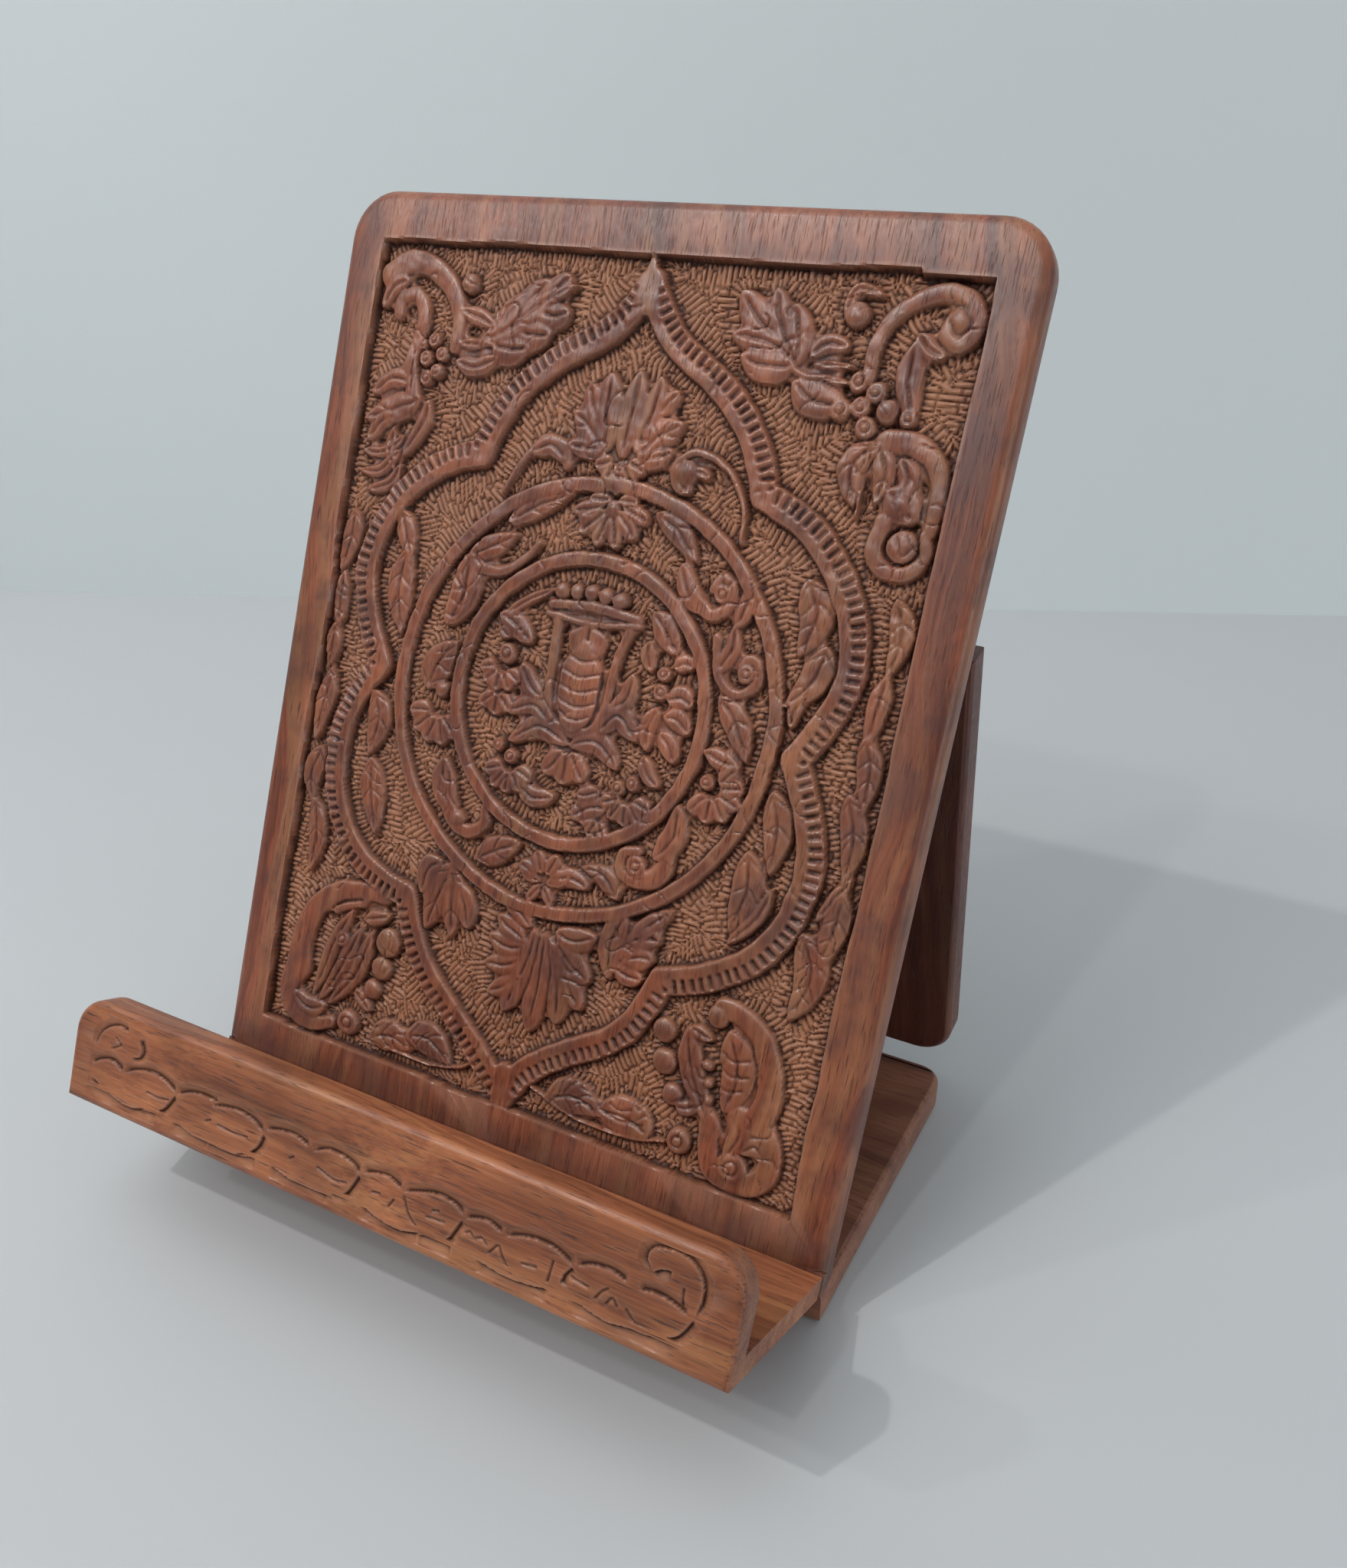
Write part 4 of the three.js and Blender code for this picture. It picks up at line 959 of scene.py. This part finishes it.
def make_panel(pitch):
    bm = board_mesh("back_panel", PANEL)
    # Behind the end of the ledge the chamfers stay
    split(bm, LEDGE_TOP, LEDGE_TOP + 0.2)

    def sides_and_top(x, y):
        return y > LEDGE_TOP and (abs(x) > 90 or y > 248)

    square_off(bm, 0, -PANEL_CHAMFER, LEDGE_TOP + 0.1)
    square_off(bm, PANEL_BACK, PANEL_BACK + PANEL_CHAMFER, LEDGE_TOP + 0.1)
    round_over(bm, FRONT_ARRIS_R, segments=6, level=0, keep=sides_and_top)
    round_over(bm, BACK_ARRIS_R, segments=4, level=PANEL_BACK, keep=sides_and_top)
    relief = carve_panel(pitch)
    heights = finish_ground(relief) - DEPTH
    verts, faces, start = carved_mesh(bm, 0.0, relief.x, relief.y + LEDGE_TOP, heights, DEPTH)
    depth = step(-heights, DEPTH - 1.5, DEPTH - 0.5)
    worn_and_shaded = wear_and_shade(heights, pitch, start, depth)
    add_board("back_panel_carved", "back_panel", "easel", "panel_wood", PANEL, verts, faces, worn_and_shaded)


LIP_FACE, LIP_BACK, LIP_CHAMFER = 57.0, 47.5, 1.0
LEDGE_CHAMFER = 0.6
LIP_ARRIS_R = 2.0
# The CAD's lip starts just under the second height, and is let down to the first one here
LIP_FOOT = 6.03, 6.31
# The heights between which the front of each board is carved
LIP_SPAN, LEDGE_SPAN = (6.5, 26.3), (2.3, 5.7)


def lip_board():
    bm = board_mesh("front_lip", PANEL)

    def ends_and_top(x, y):
        return abs(x) > 88 or y > 20

    square_off(bm, LIP_FACE, LIP_FACE - LIP_CHAMFER)
    square_off(bm, LIP_BACK, LIP_BACK + LIP_CHAMFER)
    for vert in bm.verts:
        if vert.co.y < LIP_FOOT[1]:
            vert.co.y = LIP_FOOT[0]
    for level in (LIP_FACE, LIP_BACK):
        round_over(bm, LIP_ARRIS_R, segments=5, level=level, keep=ends_and_top)
    return bm


def ledge_board():
    bm = board_mesh("ledge_shelf", PANEL)
    square_off(bm, LIP_FACE, LIP_FACE - LEDGE_CHAMFER)

    def ends_and_foot(x, y):
        return abs(x) > 99 or y < 1

    round_over(bm, LIP_ARRIS_R, segments=5, level=LIP_FACE, keep=ends_and_foot)
    return bm


def make_front(pitch):
    """The ledge and the lip, whose flush front faces share one carving."""
    relief = carve_front(pitch)
    boards = ("front_lip", lip_board(), LIP_SPAN), ("ledge_shelf", ledge_board(), LEDGE_SPAN)
    for node, bm, (low, high) in boards:
        rows = (relief.y > low - LEVEL) & (relief.y < high + LEVEL)
        heights = relief.h[rows].copy()
        verts, faces, start = carved_mesh(bm, LIP_FACE, relief.x, relief.y[rows], heights)
        worn_and_shaded = wear_and_shade(heights, pitch, start, 0.6 * step(-heights, 0.10, 0.5))
        name = node + "_carved"
        even_shading(add_board(name, node, "easel", "ledge_wood", PANEL, verts, faces, worn_and_shaded))


def make_plain(node, body, slot, place, levels, end):
    """A board with no carving, whose chamfers are softened into rounds along its sides and its end."""
    bm = board_mesh(node, place)

    def sides_and_end(x, y):
        return abs(x) > 97 or abs(y - end) < 14

    for level in levels:
        round_over(bm, 0.5, segments=2, level=level, keep=sides_and_end)
    even_shading(add_board(node + "_rounded", node, body, slot, place, *arrays(bm)))


make_panel(0.4)
make_front(0.3)
make_plain("base_panel", "base", "base_wood", BASE, levels=(0, 1.2, 9.4, 10.6), end=74)
make_plain("rear_leg", "leg", "leg_wood", LEG, levels=(2.5, 3.7, 10.9, 12.1), end=-132)


# Stage
TABLE = (0.535, 0.555, 0.57)
WALL = (0.73, 0.79, 0.80)
# The foot of the wall, left and right, in the row frame
WALL_FOOT = Vector((-0.527, 0.241, 0)), Vector((0.009, 0.476, 0))
WALL_HEIGHT = 3
TABLE_REACH = 6


def plain(name, colour, rough):
    n = Nodes(bpy.data.materials.new(name))
    cloud = n.noise(n.add("TexCoord", out=3), 2.5, 2.0)
    return n.finish(n.mix(n.span(cloud, 0.3, 0.7), colour, tuple(c * 0.97 for c in colour)), rough)


def flat(name, corners, material):
    mesh = bpy.data.meshes.new(name)
    mesh.from_pydata(corners, [], [(0, 1, 2, 3)])
    mesh.materials.append(material)
    obj = bpy.data.objects.new(name, mesh)
    bpy.context.collection.objects.link(obj)


def make_stage():
    r = TABLE_REACH
    flat("floor", [(-r, -r, 0), (r, -r, 0), (r, r, 0), (-r, r, 0)], plain("floor_paint", TABLE, 0.45))
    run = (WALL_FOOT[1] - WALL_FOOT[0]).normalized() * 4
    left, right = WALL_FOOT[0] - run, WALL_FOOT[1] + run
    up = Vector((0, 0, WALL_HEIGHT))
    flat("wall", [left, right, right + up, left + up], plain("wall_paint", WALL, 0.8))


# What most lamps are aimed at
MIDDLE = (0, 0, 0.1)


def area_light(name, place, size, power, colour, aim=MIDDLE):
    data = bpy.data.lights.new(name, "AREA")
    data.shape = "DISK"
    data.size = size
    data.energy = power
    data.color = colour
    obj = bpy.data.objects.new(name, data)
    obj.location = place
    obj.rotation_euler = (Vector(aim) - Vector(place)).to_track_quat("-Z", "Y").to_euler()
    bpy.context.collection.objects.link(obj)


def make_lights():
    """Three small lamps for the shadows that the photograph shows, and three broad ones."""
    area_light("key", (-0.55, -0.63, 1.45), 0.04, 5.0, (1.0, 0.97, 0.93))
    area_light("front", (-0.12, -1.03, 1.45), 0.06, 2.4, (1.0, 0.98, 0.95))
    area_light("left", (-0.95, -0.65, 1.10), 0.06, 1.8, (1.0, 0.98, 0.95))
    area_light("window", (-0.68, -1.02, 1.48), 0.85, 5.6, (0.96, 0.98, 1.0))
    area_light("ceiling", (-0.45, -0.05, 1.90), 1.2, 6.0, (0.98, 0.99, 1.0), aim=(-0.3, 0.05, 0))
    area_light("right", (1.60, -0.25, 0.36), 1.0, 5.6, (0.94, 0.97, 1.0))


# Each height of the direction looked in, and how light the room is there
ROOM_TONES = ((0.0, 0.08), (0.34, 0.24), (0.60, 0.90), (1.0, 1.0))


def make_room():
    """World light that is dark at the horizon and light overhead."""
    world = bpy.data.worlds.new("room")
    bpy.context.scene.world = world
    n = Nodes(world)
    height = n.add("SeparateXYZ", n.add("TexCoord", out="Generated"), out="Z")
    tones = [(z, (0.96 * grey, 0.99 * grey, 1.02 * grey)) for z, grey in ROOM_TONES]
    n.feed_all(n.tree.nodes["Background"], {"Color": n.ramp(height, *tones), "Strength": 0.54})


# The camera's place in mm and its axes, and the photograph's size, focal length and middle in pixels
CAMERA_AT = Vector((175.518, -238.498, 274.729)) * MM
RIGHT = Vector((0.88233548, 0.470502, -0.01058105))
DOWN = Vector((0.23881268, -0.46699402, -0.85140184))
FORWARD = Vector((-0.40552756, 0.74869517, -0.52440724))
PHOTO_WIDTH, PHOTO_HEIGHT = 1759, 2048
FOCAL_PX, CENTRE_PX = 1690.696, (900.273, 1112.984)
SENSOR = 36


def make_camera():
    camera = bpy.data.cameras.new("camera")
    camera.sensor_fit = "AUTO"
    camera.sensor_width = SENSOR
    camera.lens = FOCAL_PX / PHOTO_HEIGHT * SENSOR
    camera.shift_x = (PHOTO_WIDTH / 2 - CENTRE_PX[0]) / PHOTO_HEIGHT
    camera.shift_y = (CENTRE_PX[1] - PHOTO_HEIGHT / 2) / PHOTO_HEIGHT
    camera.clip_start = 0.01
    camera.clip_end = 50
    eye = bpy.data.objects.new("camera", camera)
    axes = Matrix((RIGHT, -DOWN, -FORWARD)).transposed().to_4x4()
    eye.matrix_world = Matrix.Translation(CAMERA_AT) @ axes
    bpy.context.collection.objects.link(eye)
    bpy.context.scene.camera = eye


make_stage()
make_lights()
make_room()
make_camera()
bpy.context.scene.view_settings.view_transform = "Standard"
